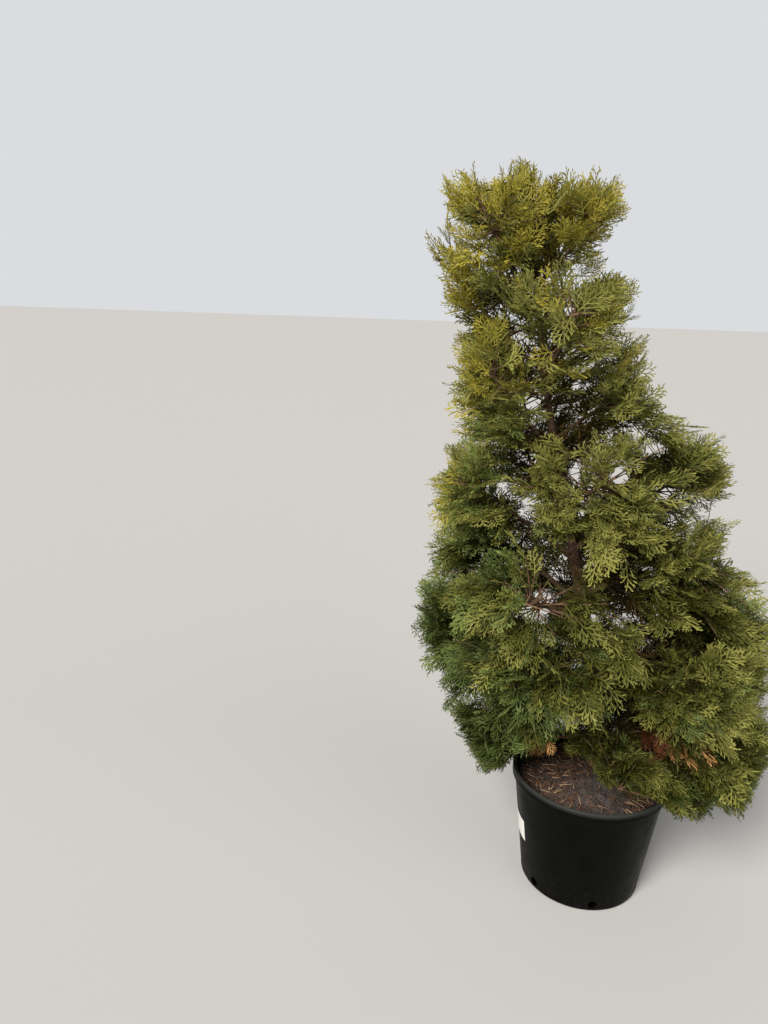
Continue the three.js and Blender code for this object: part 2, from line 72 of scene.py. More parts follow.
# %% Camera
PHOTO_LONG_SIDE = 1024
FOCAL_LENGTH_PIXELS = 800
SENSOR_MM = 36
CAMERA_PLACE = Vector((-0.380, -1.251, 1.017))
CAMERA_PITCH = math.radians(15.43)
CAMERA_ROLL = math.radians(1.98)


def camera_turn(pitch, roll):
    right = Vector((1, 0, 0))
    forward = Vector((0, math.cos(pitch), -math.sin(pitch)))
    up = Vector((0, math.sin(pitch), math.cos(pitch)))
    rolled_right = right * math.cos(roll) + up * math.sin(roll)
    rolled_up = up * math.cos(roll) - right * math.sin(roll)
    return Matrix((rolled_right, rolled_up, -forward)).transposed()


bpy.ops.object.camera_add(location=CAMERA_PLACE)
camera = bpy.context.object
camera.name = "camera"
camera.rotation_mode = "QUATERNION"
camera.rotation_quaternion = camera_turn(CAMERA_PITCH, CAMERA_ROLL).to_quaternion()
camera.data.sensor_width = SENSOR_MM
camera.data.lens = SENSOR_MM * FOCAL_LENGTH_PIXELS / PHOTO_LONG_SIDE
bpy.context.scene.camera = camera
print("camera: lens", round(camera.data.lens, 3), "mm")

# %% [markdown]
# ## Floor and light
# A studio shows a plant best on a pale floor under large, soft lamps. The key is a sun lamp with a very wide
# disc, high on the left and in front: like a big softbox, but without its fall-off across the floor. A weaker
# one fills from the right. The sky lights every side only a little, so that the inside of the crown stays
# dark and its outer sprays catch the light.

# %% Floor
FLOOR_SIDE = 60
FLOOR_DROP = 0.0005


def principled(name):
    material = bpy.data.materials.new(name)
    material.use_nodes = True
    return material, material.node_tree, material.node_tree.nodes["Principled BSDF"]


bpy.ops.mesh.primitive_plane_add(size=FLOOR_SIDE, location=(0, 0, -FLOOR_DROP))
floor = bpy.context.object
floor.name = "floor"
floor_paint, _, floor_shader = principled("floor_paint")
floor_shader.inputs["Base Color"].default_value = (0.50, 0.51, 0.53, 1)
floor_shader.inputs["Roughness"].default_value = 0.9
floor.data.materials.append(floor_paint)
floor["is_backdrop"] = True

# %% Lamps and sky
LAMPS = [
    {"name": "key", "place": (-1.4, -2.1, 2.5), "disc": 26, "strength": 4.8, "colour": (1.0, 0.94, 0.84)},
    {"name": "fill", "place": (2.2, -2.2, 1.8), "disc": 60, "strength": 1.0, "colour": (1.0, 0.97, 0.92)},
]
LAMP_AIM = Vector((0, 0, 0.6))
SKY_LIGHT = 0.27
SKY_SEEN = 0.74
for lamp in LAMPS:
    bpy.ops.object.light_add(type="SUN", location=lamp["place"])
    light = bpy.context.object
    light.name = lamp["name"]
    light.data.angle = math.radians(lamp["disc"])
    light.data.energy = lamp["strength"]
    light.data.color = lamp["colour"]
    towards = LAMP_AIM - Vector(lamp["place"])
    light.rotation_mode = "QUATERNION"
    light.rotation_quaternion = towards.to_track_quat("-Z", "Y")
sky = bpy.data.worlds.new("sky")
sky.use_nodes = True
sky_nodes = sky.node_tree.nodes
dim_sky = sky_nodes["Background"]
dim_sky.inputs["Color"].default_value = (1.0, 0.97, 0.92, 1)
dim_sky.inputs["Strength"].default_value = SKY_LIGHT
seen_sky = sky_nodes.new("ShaderNodeBackground")
seen_sky.inputs["Color"].default_value = (0.95, 0.97, 1.0, 1)
seen_sky.inputs["Strength"].default_value = SKY_SEEN
chooser = sky_nodes.new("ShaderNodeMixShader")
path_kind = sky_nodes.new("ShaderNodeLightPath")
sky.node_tree.links.new(path_kind.outputs["Is Camera Ray"], chooser.inputs["Fac"])
sky.node_tree.links.new(dim_sky.outputs["Background"], chooser.inputs[1])
sky.node_tree.links.new(seen_sky.outputs["Background"], chooser.inputs[2])
sky.node_tree.links.new(chooser.outputs["Shader"], sky_nodes["World Output"].inputs["Surface"])
bpy.context.scene.world = sky
bpy.context.scene.view_settings.view_transform = "Standard"
print("lamps:", len(LAMPS))

# %% [markdown]
# ## Shared finishes
# Nothing on a living plant or a used pot has one even colour. Two shader groups serve all materials here. One
# mixes two tints in soft patches, and the other gives a fine, uneven relief. Each material places them with
# its own colours and scales. An image would be quicker, but it would slide on so many small pieces.


# %% Two finish groups
def add_node(tree, kind, values=None, **settings):
    """A new node with these settings, and with these values on its sockets."""
    node = tree.nodes.new(kind)
    for name, setting in settings.items():
        setattr(node, name, setting)
    for socket, value in (values or {}).items():
        node.inputs[socket].default_value = value
    return node


def wire(tree, *links):
    """Joins nodes. A link is a node, its output, the next node and its input."""
    for giver, output, taker, socket in links:
        tree.links.new(giver.outputs[output], taker.inputs[socket])


def new_group(name, inputs, outputs):
    group = bpy.data.node_groups.new(name, "ShaderNodeTree")
    for label, kind, value in inputs:
        socket = group.interface.new_socket(name=label, in_out="INPUT", socket_type=kind)
        socket.default_value = value
    for label, kind in outputs:
        group.interface.new_socket(name=label, in_out="OUTPUT", socket_type=kind)
    return group, group.nodes.new("NodeGroupInput"), group.nodes.new("NodeGroupOutput")


FLOAT = "NodeSocketFloat"
COLOUR = "NodeSocketColor"
patches, start, end = new_group(
    "tint_patches",
    [
        ("First tint", COLOUR, (0.1, 0.1, 0.1, 1)),
        ("Second tint", COLOUR, (0.2, 0.2, 0.2, 1)),
        ("Patches per metre", FLOAT, 30),
        ("Low edge", FLOAT, 0.4),
        ("High edge", FLOAT, 0.6),
    ],
    [("Colour", COLOUR), ("Mask", FLOAT)],
)
place = add_node(patches, "ShaderNodeTexCoord")
cloud = add_node(patches, "ShaderNodeTexNoise", {"Detail": 5, "Roughness": 0.65})
spread = add_node(patches, "ShaderNodeMapRange")
blend = add_node(patches, "ShaderNodeMix", data_type="RGBA")
wire(
    patches,
    (place, "Object", cloud, "Vector"),
    (start, "Patches per metre", cloud, "Scale"),
    (cloud, "Fac", spread, "Value"),
    (start, "Low edge", spread, "From Min"),
    (start, "High edge", spread, "From Max"),
    (spread, "Result", blend, "Factor"),
    (start, "First tint", blend, "A"),
    (start, "Second tint", blend, "B"),
    (blend, "Result", end, "Colour"),
    (spread, "Result", end, "Mask"),
)

relief, start, end = new_group(
    "fine_relief",
    [("Grains per metre", FLOAT, 300), ("Lengthways share", FLOAT, 1)],
    [("Height", FLOAT)],
)
place = add_node(relief, "ShaderNodeTexCoord")
stretch = add_node(relief, "ShaderNodeCombineXYZ", {"X": 1, "Y": 1})
scaled = add_node(relief, "ShaderNodeVectorMath", operation="MULTIPLY")
grain = add_node(relief, "ShaderNodeTexNoise", {"Detail": 4, "Roughness": 0.6})
wire(
    relief,
    (start, "Lengthways share", stretch, "Z"),
    (place, "Object", scaled, 0),
    (stretch, "Vector", scaled, 1),
    (scaled, "Vector", grain, "Vector"),
    (start, "Grains per metre", grain, "Scale"),
    (grain, "Fac", end, "Height"),
)


# %% A material from the two groups
def finish(name, first, second, per_metre, rough, grains, bump_mm, lengthways=1.0, shine=0.3, strength=0.8):
    """Two tints in patches, roughness that follows them, and a fine relief."""
    material, tree, shader = principled(name)
    shader.inputs["Specular IOR Level"].default_value = shine
    tints = add_node(tree, "ShaderNodeGroup", node_tree=patches)
    tints.inputs["First tint"].default_value = (*first, 1)
    tints.inputs["Second tint"].default_value = (*second, 1)
    tints.inputs["Patches per metre"].default_value = per_metre
    gloss = add_node(tree, "ShaderNodeMapRange", {"To Min": rough[0], "To Max": rough[1]})
    uneven = add_node(tree, "ShaderNodeGroup", node_tree=relief)
    uneven.inputs["Grains per metre"].default_value = grains
    uneven.inputs["Lengthways share"].default_value = lengthways
    bump = add_node(tree, "ShaderNodeBump", {"Strength": strength, "Distance": bump_mm * MM})
    wire(
        tree,
        (tints, "Colour", shader, "Base Color"),
        (tints, "Mask", gloss, "Value"),
        (gloss, "Result", shader, "Roughness"),
        (uneven, "Height", bump, "Height"),
        (bump, "Normal", shader, "Normal"),
    )
    return material


print("groups:", [group.name for group in bpy.data.node_groups])

# %% [markdown]
# ## Pot
# The pot is blow-moulded black plastic: a level foot, a tapered wall, and a lip that is stepped out and
# rolled over. A spun profile would do, but its seam needs closing. Instead a disc is drawn and its face is
# extruded and scaled ring by ring: out over the foot, up the wall, over the lip and down the inside. The face
# that is left at the end becomes the inner floor, so the shell is closed from the first stroke to the last.

# %% Pot shell
POT_SIDES = 128
POT_HEIGHT = 213
LIP_RADIUS = 134
LIP_BAND = 17
LIP_STEP = 5
BASE_RADIUS = 104
POT_WALL = 3
POT_FLOOR = 4
DRAIN_COUNT = 6
DRAIN_RADIUS = 8
DRAIN_HEIGHT = 15
NECK = LIP_RADIUS - LIP_STEP
UNDER_LIP = POT_HEIGHT - LIP_BAND


def arc(centre, radius, first, last, steps):
    """Points of a rounded corner in a profile, as (distance from the axis, height)."""
    turns = np.radians(np.linspace(first, last, steps))
    return [(centre[0] + radius * math.cos(t), centre[1] + radius * math.sin(t)) for t in turns]


def end_edit():
    """Turns all faces of the mesh in edit mode outward and leaves edit mode."""
    bpy.ops.mesh.select_all(action="SELECT")
    bpy.ops.mesh.normals_make_consistent(inside=False)
    bpy.ops.object.mode_set(mode="OBJECT")


def start_disc(sides, radius, height=0):
    """A new disc in edit mode with its one face selected. Both lengths are in metres."""
    bpy.ops.object.select_all(action="DESELECT")
    spot = (0, 0, height)
    bpy.ops.mesh.primitive_circle_add(vertices=sides, radius=radius, fill_type="NGON", location=spot)
    bpy.ops.object.mode_set(mode="EDIT")
    bpy.ops.mesh.select_all(action="SELECT")
    return bpy.context.object


def extrude_rings(profile, sides):
    """A closed shell: a disc whose face is extruded and scaled to each point of the profile in turn."""
    radius, height = profile[0]
    shell = start_disc(sides, radius * MM, height * MM)
    for next_radius, next_height in profile[1:]:
        rise = (next_height - height) * MM
        bpy.ops.mesh.extrude_region_move(TRANSFORM_OT_translate={"value": (0, 0, rise)})
        grown = next_radius / radius
        bpy.ops.transform.resize(value=(grown, grown, 1), center_override=(0, 0, next_height * MM))
        radius, height = next_radius, next_height
    end_edit()
    return shell


pot_profile = [
    (BASE_RADIUS - 12, 3.0),
    (BASE_RADIUS - 8, 0.0),
    *arc((BASE_RADIUS - 6, 6), 6, -80, 0, 5),
    (BASE_RADIUS + 0.5, 12),
    (NECK - 1, UNDER_LIP - 8),
    (NECK, UNDER_LIP - 1.5),
    *arc((LIP_RADIUS - 2, UNDER_LIP + 2), 2, -70, 0, 4),
    (LIP_RADIUS - 0.6, UNDER_LIP + 7),
    *arc((LIP_RADIUS - 3, POT_HEIGHT - 3), 3, 0, 100, 6),
    (LIP_RADIUS - 6, POT_HEIGHT - 1.8),
    (NECK - POT_WALL + 1, POT_HEIGHT - 5),
    (NECK - POT_WALL, POT_HEIGHT - 9),
    (NECK - POT_WALL, UNDER_LIP),
    (BASE_RADIUS - POT_WALL, POT_FLOOR + 6),
    (BASE_RADIUS - POT_WALL - 5, POT_FLOOR),
]
pot = extrude_rings(pot_profile, POT_SIDES)
pot.name = "nursery_pot"
print("pot rings:", len(pot_profile))

# %% [markdown]
# The drain holes are cut last. One peg is modelled and copied round the foot, the pegs are joined, and a
# Boolean modifier takes them out of the wall. Cutting the wall's own faces would leave holes with as many
# corners as the wall has, so the Boolean is the cleaner way here.

# %% Drain holes
DRAIN_SIDES = 24
DRAIN_DEPTH = 30
SMOOTH_ANGLE = math.radians(32)


def choose(pieces):
    """Selects these pieces alone and makes the first one active."""
    bpy.ops.object.select_all(action="DESELECT")
    for piece in pieces:
        piece.select_set(True)
    bpy.context.view_layer.objects.active = pieces[0]


def joined(pieces):
    """The pieces as one object at the origin, unturned and unscaled."""
    choose(pieces)
    bpy.ops.object.join()
    bpy.ops.object.transform_apply(location=True, rotation=True, scale=True)
    return bpy.context.object


pegs = []
for k in range(DRAIN_COUNT):
    turn = 2 * math.pi * (k + 0.5) / DRAIN_COUNT
    spot = (BASE_RADIUS * MM * math.cos(turn), BASE_RADIUS * MM * math.sin(turn), DRAIN_HEIGHT * MM)
    bpy.ops.mesh.primitive_cylinder_add(
        vertices=DRAIN_SIDES,
        radius=DRAIN_RADIUS * MM,
        depth=DRAIN_DEPTH * MM,
        location=spot,
        rotation=(0, math.pi / 2, turn),
    )
    pegs.append(bpy.context.object)
drains = joined(pegs)
choose([pot])
bpy.ops.object.transform_apply(location=True, rotation=True, scale=True)
cut = pot.modifiers.new("drain_holes", "BOOLEAN")
cut.object = drains
cut.operation = "DIFFERENCE"
cut.solver = "EXACT"
bpy.ops.object.modifier_apply(modifier=cut.name)
bpy.data.objects.remove(drains)
bpy.ops.object.shade_smooth_by_angle(angle=SMOOTH_ANGLE)
print("pot faces:", len(pot.data.polygons))

# %% [markdown]
# Black nursery plastic is never quite black. It is dull and slightly scuffed, and splashed soil leaves a
# brown haze low on the wall. The lip's top edge gets a painted highlight: a band of lighter grey in its
# colour. Both follow the height, so two masks made from the Object coordinates mix them in over the plain
# finish, and a noise breaks up the haze.

# %% Pot plastic
HAZE_HEIGHT = 70
# How far below the lip's top the painted highlight band reaches, in millimetres.
HIGHLIGHT_BAND = 9
pot_plastic = finish(
    "pot_plastic", (0.0012, 0.0014, 0.0012), (0.0022, 0.0024, 0.0021), 26, (0.36, 0.52), 420, 0.25,
    shine=0.055, strength=0.5,
)
tree = pot_plastic.node_tree
shader = tree.nodes["Principled BSDF"]
plain_tint = shader.inputs["Base Color"].links[0].from_node
place = add_node(tree, "ShaderNodeTexCoord")
parts = add_node(tree, "ShaderNodeSeparateXYZ")
low = add_node(tree, "ShaderNodeMapRange", {"From Min": HAZE_HEIGHT * MM, "From Max": 0, "To Max": 0.3})
splashes = add_node(tree, "ShaderNodeTexNoise", {"Scale": 95, "Detail": 6, "Roughness": 0.75})
spots = add_node(tree, "ShaderNodeMapRange", {"From Min": 0.5, "From Max": 0.72})
dirty = add_node(tree, "ShaderNodeMath", operation="MULTIPLY")
soiled = add_node(tree, "ShaderNodeMix", data_type="RGBA")
soiled.inputs["B"].default_value = (0.050, 0.041, 0.032, 1)
# Painted highlight: the lip's top band is mixed to a lighter grey, standing in for the light it catches.
highlight_mask = add_node(tree, "ShaderNodeMapRange")
highlight_mask.inputs["From Min"].default_value = (POT_HEIGHT - HIGHLIGHT_BAND) * MM
highlight_mask.inputs["From Max"].default_value = (POT_HEIGHT - 0.5) * MM
lip_highlight = add_node(tree, "ShaderNodeMix", data_type="RGBA")
lip_highlight.inputs["B"].default_value = (0.034, 0.037, 0.037, 1)
wire(
    tree,
    (place, "Object", parts, "Vector"),
    (place, "Object", splashes, "Vector"),
    (parts, "Z", low, "Value"),
    (splashes, "Fac", spots, "Value"),
    (low, "Result", dirty, 0),
    (spots, "Result", dirty, 1),
    (dirty, "Value", soiled, "Factor"),
    (plain_tint, "Colour", soiled, "A"),
    (parts, "Z", highlight_mask, "Value"),
    (highlight_mask, "Result", lip_highlight, "Factor"),
    (soiled, "Result", lip_highlight, "A"),
    (lip_highlight, "Result", shader, "Base Color"),
)
pot.data.materials.append(pot_plastic)
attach(pot, ROOT)
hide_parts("pot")

# %% [markdown]
# ## The blank sticker
# A white paper sticker is on the left of the wall. It is left blank. It is a small grid, wrapped on the
# tapered wall in code and given a paper's thickness with Solidify, because a flat card would stand off the
# round wall.

# %% Sticker
STICKER_TURN = math.radians(184)
STICKER_WIDTH = 52
STICKER_LOW = 84
STICKER_HIGH = 124
STICKER_PROUD = 0.25
STICKER_THICKNESS = 0.3


def wall_radius(height):
    """The pot wall's outer radius at a height, in millimetres."""
    return np.interp(height, [12, UNDER_LIP - 8], [BASE_RADIUS + 0.5, NECK - 1])


bpy.ops.object.select_all(action="DESELECT")
bpy.ops.mesh.primitive_grid_add(x_subdivisions=16, y_subdivisions=8, size=1)
sticker = bpy.context.object
sticker.name = "blank_sticker"
for corner in sticker.data.vertices:
    height = STICKER_LOW + (corner.co.y + 0.5) * (STICKER_HIGH - STICKER_LOW)
    radius = wall_radius(height) + STICKER_PROUD
    turn = STICKER_TURN + corner.co.x * STICKER_WIDTH / radius
    corner.co = Vector((radius * math.cos(turn), radius * math.sin(turn), height)) * MM
bpy.ops.object.mode_set(mode="EDIT")
end_edit()
paper = sticker.modifiers.new("paper", "SOLIDIFY")
paper.thickness = STICKER_THICKNESS * MM
paper.offset = 0
bpy.ops.object.modifier_apply(modifier=paper.name)
sticker.data.materials.append(
    finish("paper", (0.80, 0.80, 0.78), (0.70, 0.69, 0.66), 60, (0.5, 0.65), 700, 0.05)
)
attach(sticker, ROOT)

# %% [markdown]
# ## Soil
# The pot is filled nearly to its lip with a dark bark mix, mounded a little under the trunk. A disc is inset
# again and again, which gives rings of faces from the wall to the middle. Each point is then lifted to the
# mound's height and roughened by two scales of noise. Displacing a plane would do as well, but its square
# edge would not fit.

# %% Soil mound
SOIL_EDGE = 190
MOUND_TOP = 214
SOIL_GAP = 0.6
SOIL_SIDES = 160
SOIL_INSETS = 34
SOIL_DEPTH = 25
TRUNK_ROOT_X = 20
TRUNK_ROOT_Y = 17
CLOD_HEIGHT = 3.4
GRIT_HEIGHT = 1.7
CALM_ROUND_TRUNK = 34
CALM_AT_WALL = 6
SOIL_TUCK = 0.97
inner_radii = [BASE_RADIUS - POT_WALL, NECK - POT_WALL]
soil_radius = float(np.interp(SOIL_EDGE, [POT_FLOOR + 6, UNDER_LIP], inner_radii)) - SOIL_GAP


def mound_height(x, y):
    """The soil's height in millimetres, without its roughness."""
    radius = math.hypot(x, y)
    share = min(1.0, radius / soil_radius)
    eased = share * share * (3 - 2 * share)
    return MOUND_TOP + (SOIL_EDGE - MOUND_TOP) * eased


def lumps(x, y, size, layer):
    return noise.noise(Vector((x / size, y / size, layer)))


def soil_height(x, y):
    """The soil's height with clods and grit, level near the trunk and calm at the wall."""
    calm = min(1.0, math.hypot(x - TRUNK_ROOT_X, y - TRUNK_ROOT_Y) / CALM_ROUND_TRUNK)
    edge = min(1.0, (soil_radius - math.hypot(x, y)) / CALM_AT_WALL)
    clods = lumps(x, y, 21, 3.1) + 0.6 * lumps(x, y, 10, 7.7)
    grit = lumps(x, y, 3.6, 1.3) + 0.5 * lumps(x, y, 1.9, 9.1)
    return mound_height(x, y) + calm * max(0, edge) * (CLOD_HEIGHT * clods + GRIT_HEIGHT * grit)


soil = start_disc(SOIL_SIDES, soil_radius * MM)
soil.name = "soil_mound"
ring_width = soil_radius * MM / (SOIL_INSETS + 2)
for _ in range(SOIL_INSETS):
    bpy.ops.mesh.inset(thickness=ring_width, depth=0)
bpy.ops.mesh.poke()
bpy.ops.object.mode_set(mode="OBJECT")
for point in soil.data.vertices:
    x, y = point.co.x / MM, point.co.y / MM
    point.co.z = soil_height(x, y) * MM
bpy.ops.object.mode_set(mode="EDIT")
bpy.ops.mesh.select_all(action="DESELECT")
bpy.ops.mesh.select_non_manifold()
bpy.ops.mesh.extrude_region_move(TRANSFORM_OT_translate={"value": (0, 0, -SOIL_DEPTH * MM)})
bpy.ops.transform.resize(value=(SOIL_TUCK, SOIL_TUCK, 1), center_override=(0, 0, 0))
bpy.ops.mesh.edge_face_add()
end_edit()
bpy.ops.object.shade_smooth_by_angle(angle=math.radians(50))
soil.data.materials.append(
    finish("soil_mix", (0.030, 0.025, 0.024), (0.078, 0.066, 0.062), 75, (0.85, 1.0), 520, 1.2)
)
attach(soil, ROOT)
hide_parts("soil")
print("soil faces:", len(soil.data.polygons))


# %% [markdown]
# ## Joined meshes from arrays
# Litter, twigs and sprays come in thousands. An operator for each would take far too long, so these are made
# as arrays of points and triangles, and each kind becomes one mesh. All lengths in the arrays are
# millimetres.


# %% From arrays to a mesh
def joined_piece(name, points, triangles, material, slot_name, stands_for=()):
    mesh = bpy.data.meshes.new(name)
    mesh.vertices.add(len(points))
    mesh.vertices.foreach_set("co", (np.asarray(points) * MM).astype(np.float32).ravel())
    mesh.loops.add(3 * len(triangles))
    mesh.loops.foreach_set("vertex_index", np.asarray(triangles, dtype=np.int32).ravel())
    mesh.polygons.add(len(triangles))
    mesh.polygons.foreach_set("loop_start", np.arange(0, 3 * len(triangles), 3, dtype=np.int32))
    mesh.update(calc_edges=True)
    mesh.materials.append(material)
    piece = bpy.data.objects.new(name, mesh)
    bpy.context.scene.collection.objects.link(piece)
    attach(piece, ROOT)
    if stands_for:
        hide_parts(*stands_for)
    print(name, len(triangles), "triangles")
    return piece


def stacked(blocks):
    """Many small (points, triangles) blocks as one pair of arrays."""
    points, triangles, first = [], [], 0
    for block_points, block_triangles in blocks:
        points.append(block_points)
        triangles.append(block_triangles + first)
        first += len(block_points)
    return np.concatenate(points), np.concatenate(triangles)


def unit(vector):
    return vector / np.linalg.norm(vector)


def units(vectors):
    """Rows of directions, each of length 1."""
    return vectors / np.linalg.norm(vectors, axis=1, keepdims=True)


def level_way(angle):
    """A level direction of length 1."""
    return np.array([math.cos(angle), math.sin(angle), 0])


def turned(vector, axis, degrees):
    """A vector turned about an axis of length 1."""
    turn = math.radians(degrees)
    along = axis * (axis @ vector) * (1 - math.cos(turn))
    return unit(vector * math.cos(turn) + np.cross(axis, vector) * math.sin(turn) + along)


# %% [markdown]
# ## Litter on the soil
# Crumbs of bark, dry reddish needles and pale clippings lie on the mound. A crumb is a squashed eight-sided
# grain, and a clipping is a three-sided stick. They are strewn by one seeded stream of numbers, and each lies
# on the soil's own height. In front, below the trunk, hardly any sticks lie and the dark soil shows.

# %% Crumbs, needles and clippings
litter = np.random.default_rng(41)
CRUMBS = 2600
NEEDLES = 900
CLIPPINGS = 150
CLEAR_OF_FOOT = 26
BARE_SOIL = {"x": 4, "y": -64, "radius": 46, "kept": 0.2}
OCTAHEDRON = np.array([[1, 0, 0], [0, 1, 0], [-1, 0, 0], [0, -1, 0], [0, 0, 1], [0, 0, -1]], float)
OCTAHEDRON_FACES = np.array(
    [[0, 1, 4], [1, 2, 4], [2, 3, 4], [3, 0, 4], [1, 0, 5], [2, 1, 5], [3, 2, 5], [0, 3, 5]]
)
STICK_FACES = np.array(
    [[0, 1, 4], [0, 4, 3], [1, 2, 5], [1, 5, 4], [2, 0, 3], [2, 3, 5], [0, 2, 1], [3, 4, 5]]
)


def place_on_soil(clear):
    """A seeded spot on the soil, clear of the wall and the trunk's foot."""
    while True:
        x, y = litter.uniform(-soil_radius, soil_radius, 2)
        from_trunk = math.hypot(x - TRUNK_ROOT_X, y - TRUNK_ROOT_Y)
        if math.hypot(x, y) < soil_radius - clear and from_trunk > CLEAR_OF_FOOT:
            return x, y


def crumb():
    x, y = place_on_soil(5)
    size = litter.uniform(0.9, 3.4) ** 1.05
    flat = litter.uniform(0.35, 0.9)
    uneven_grain = OCTAHEDRON * litter.uniform(0.7, 1.3, (6, 1))
    points = uneven_grain * np.array([size, size * litter.uniform(0.5, 1), size * flat])
    turn = litter.uniform(0, math.pi)
    swing = np.array([[math.cos(turn), -math.sin(turn), 0], [math.sin(turn), math.cos(turn), 0], [0, 0, 1]])
    return points @ swing.T + np.array([x, y, soil_height(x, y) + 0.3 * size * flat]), OCTAHEDRON_FACES


def stick(length, width, lift):
    """A thin stick that lies on the soil, its two ends at the soil's height plus a little."""
    x, y = place_on_soil(length / 2 + 3)
    while math.hypot(x - BARE_SOIL["x"], y - BARE_SOIL["y"]) < BARE_SOIL["radius"]:
        if litter.random() < BARE_SOIL["kept"]:
            break
        x, y = place_on_soil(length / 2 + 3)
    turn = litter.uniform(0, 2 * math.pi)
    half = 0.5 * length * np.array([math.cos(turn), math.sin(turn)])
    ends = [(x - half[0], y - half[1]), (x + half[0], y + half[1])]
    across = np.array([-math.sin(turn), math.cos(turn), 0]) * width / 2
    points = []
    for end_x, end_y in ends:
        middle = np.array([end_x, end_y, soil_height(end_x, end_y) + lift * litter.uniform(0.3, 1)])
        points += [middle - across, middle + across, middle + np.array([0, 0, width * 0.8])]
    return np.array(points), STICK_FACES


crumb_dark = finish("bark_crumbs", (0.034, 0.023, 0.019), (0.100, 0.077, 0.068), 240, (0.8, 1.0), 900, 0.4)
needle_red = finish("dry_needles", (0.090, 0.038, 0.020), (0.200, 0.095, 0.050), 160, (0.7, 0.9), 900, 0.1)
clipping_tan = finish("dry_clippings", (0.26, 0.165, 0.095), (0.42, 0.30, 0.20), 120, (0.6, 0.85), 900, 0.1)
crumbs = [crumb() for _ in range(CRUMBS)]
joined_piece("bark_crumbs", *stacked(crumbs), crumb_dark, "soil")
needles = [stick(litter.uniform(7, 16), litter.uniform(0.7, 1.3), 2.0) for _ in range(NEEDLES)]
joined_piece("dry_needles", *stacked(needles), needle_red, "soil")
clippings = [stick(litter.uniform(12, 30), litter.uniform(0.9, 1.7), 3.5) for _ in range(CLIPPINGS)]
joined_piece("dry_clippings", *stacked(clippings), clipping_tan, "soil")

# %% [markdown]
# ## The rule of the tree
# The trunk leans to the left. The crown's reach from it is known at several heights, to the left, to the
# right and front to back. Masses of foliage stand round the trunk in tiers, and a mass keeps to the space
# that is nearer to its own middle than to any other. The same named values and the same streams of numbers as
# the solids use are written here again, so that the fine sprays grow where the solids' plain blades stand.

# %% Named values of the tree
TRUNK_TOP = 1072
TRUNK_LEAN = 0.215
TRUNK_SWAY = 9
SWAY_DEPTH = 0.6
TRUNK_RADIUS = 14
TRUNK_TIP_RADIUS = 2.6
FLARE_RADIUS = 24
FLARE_RISE = 38
CROWN_TOP = 1206
CROWN_FOOT = 200
CROWN_SPAN = 1000
REACH_HEIGHTS = [100, 260, 500, 600, 760, 880, 1060, 1150, CROWN_TOP]
REACH_LEFT = [150, 260, 322, 290, 206, 164, 172, 152, 108]
REACH_RIGHT = [276, 320, 320, 298, 284, 194, 152, 130, 102]
REACH_DEPTH = [168, 252, 296, 272, 222, 174, 154, 134, 96]
HEM_RIGHT = 104
HEM_LEFT = 172
HEM_FRONT = 264
HEM_BACK = 190
TIERS = [
    {"name": "skirt", "height": 286, "count": 5, "turn": -22, "rise": -6, "twigs": 9},
    {"name": "lower", "height": 438, "count": 5, "turn": 16, "rise": 8, "twigs": 9},
    {"name": "waist", "height": 586, "count": 4, "turn": -32, "rise": 20, "twigs": 8},
    {"name": "middle", "height": 726, "count": 4, "turn": 12, "rise": 30, "twigs": 8},
    {"name": "upper", "height": 858, "count": 3, "turn": -18, "rise": 40, "twigs": 8},
    {"name": "shoulder", "height": 986, "count": 3, "turn": 42, "rise": 46, "twigs": 8},
    {"name": "crest", "height": 1096, "count": 3, "turn": -24, "rise": 52, "twigs": 7},
]
TIER_STAGGER = 20
MASS_SHARE = 0.58
SKIRT_DROOP = 48
TOP_TWIGS = 7
CELL_MARGIN = 1.2
STEM_BACK = 62
SEAT_GAP = 0.3
UP = np.array([0.0, 0.0, 1.0])


def seeded(seed):
    """A repeatable stream of numbers from 0 to 1."""
    state = seed
    while True:
        state = (state * 16807) % 2147483647
        yield state / 2147483647


# %% Trunk, reach and masses
def trunk_axis(height):
    rise = height - MOUND_TOP
    share = rise / (TRUNK_TOP - MOUND_TOP)
    x = TRUNK_ROOT_X - TRUNK_LEAN * rise + TRUNK_SWAY * np.sin(2 * np.pi * share)
    y = TRUNK_ROOT_Y + SWAY_DEPTH * TRUNK_SWAY * np.sin(1.5 * np.pi * share)
    return np.stack([x, y, height + 0 * x], axis=-1)


def trunk_radius(height):
    rise = np.maximum(0, height - MOUND_TOP)
    share = np.minimum(1, rise / (TRUNK_TOP - MOUND_TOP))
    taper = TRUNK_RADIUS + (TRUNK_TIP_RADIUS - TRUNK_RADIUS) * share**0.85
    return taper + (FLARE_RADIUS - TRUNK_RADIUS) * np.maximum(0, 1 - rise / FLARE_RISE) ** 2


def from_trunk(points):
    """How far points are from the trunk's middle line, and their turn round it."""
    axis = trunk_axis(points[:, 2])
    dx, dy = points[:, 0] - axis[:, 0], points[:, 1] - axis[:, 1]
    return np.hypot(dx, dy), np.arctan2(dy, dx)


def oval_reach(angle, left, right, depth):
    """How far an oval with two unequal sides reaches at a turn."""
    side = np.where(np.cos(angle) > 0, right, left)
    return 1 / np.hypot(np.cos(angle) / side, np.sin(angle) / depth)


def reach_at(height):
    """The crown's reach at a height: to the left, to the right, and front to back."""
    return [np.interp(height, REACH_HEIGHTS, reach) for reach in (REACH_LEFT, REACH_RIGHT, REACH_DEPTH)]


def crown_reach(angle, height):
    return oval_reach(angle, *reach_at(height))


def crown_hem(angle):
    side = np.where(np.cos(angle) > 0, HEM_RIGHT, HEM_LEFT)
    deep = np.where(np.sin(angle) < 0, HEM_FRONT, HEM_BACK)
    return side * np.cos(angle) ** 2 + deep * np.sin(angle) ** 2


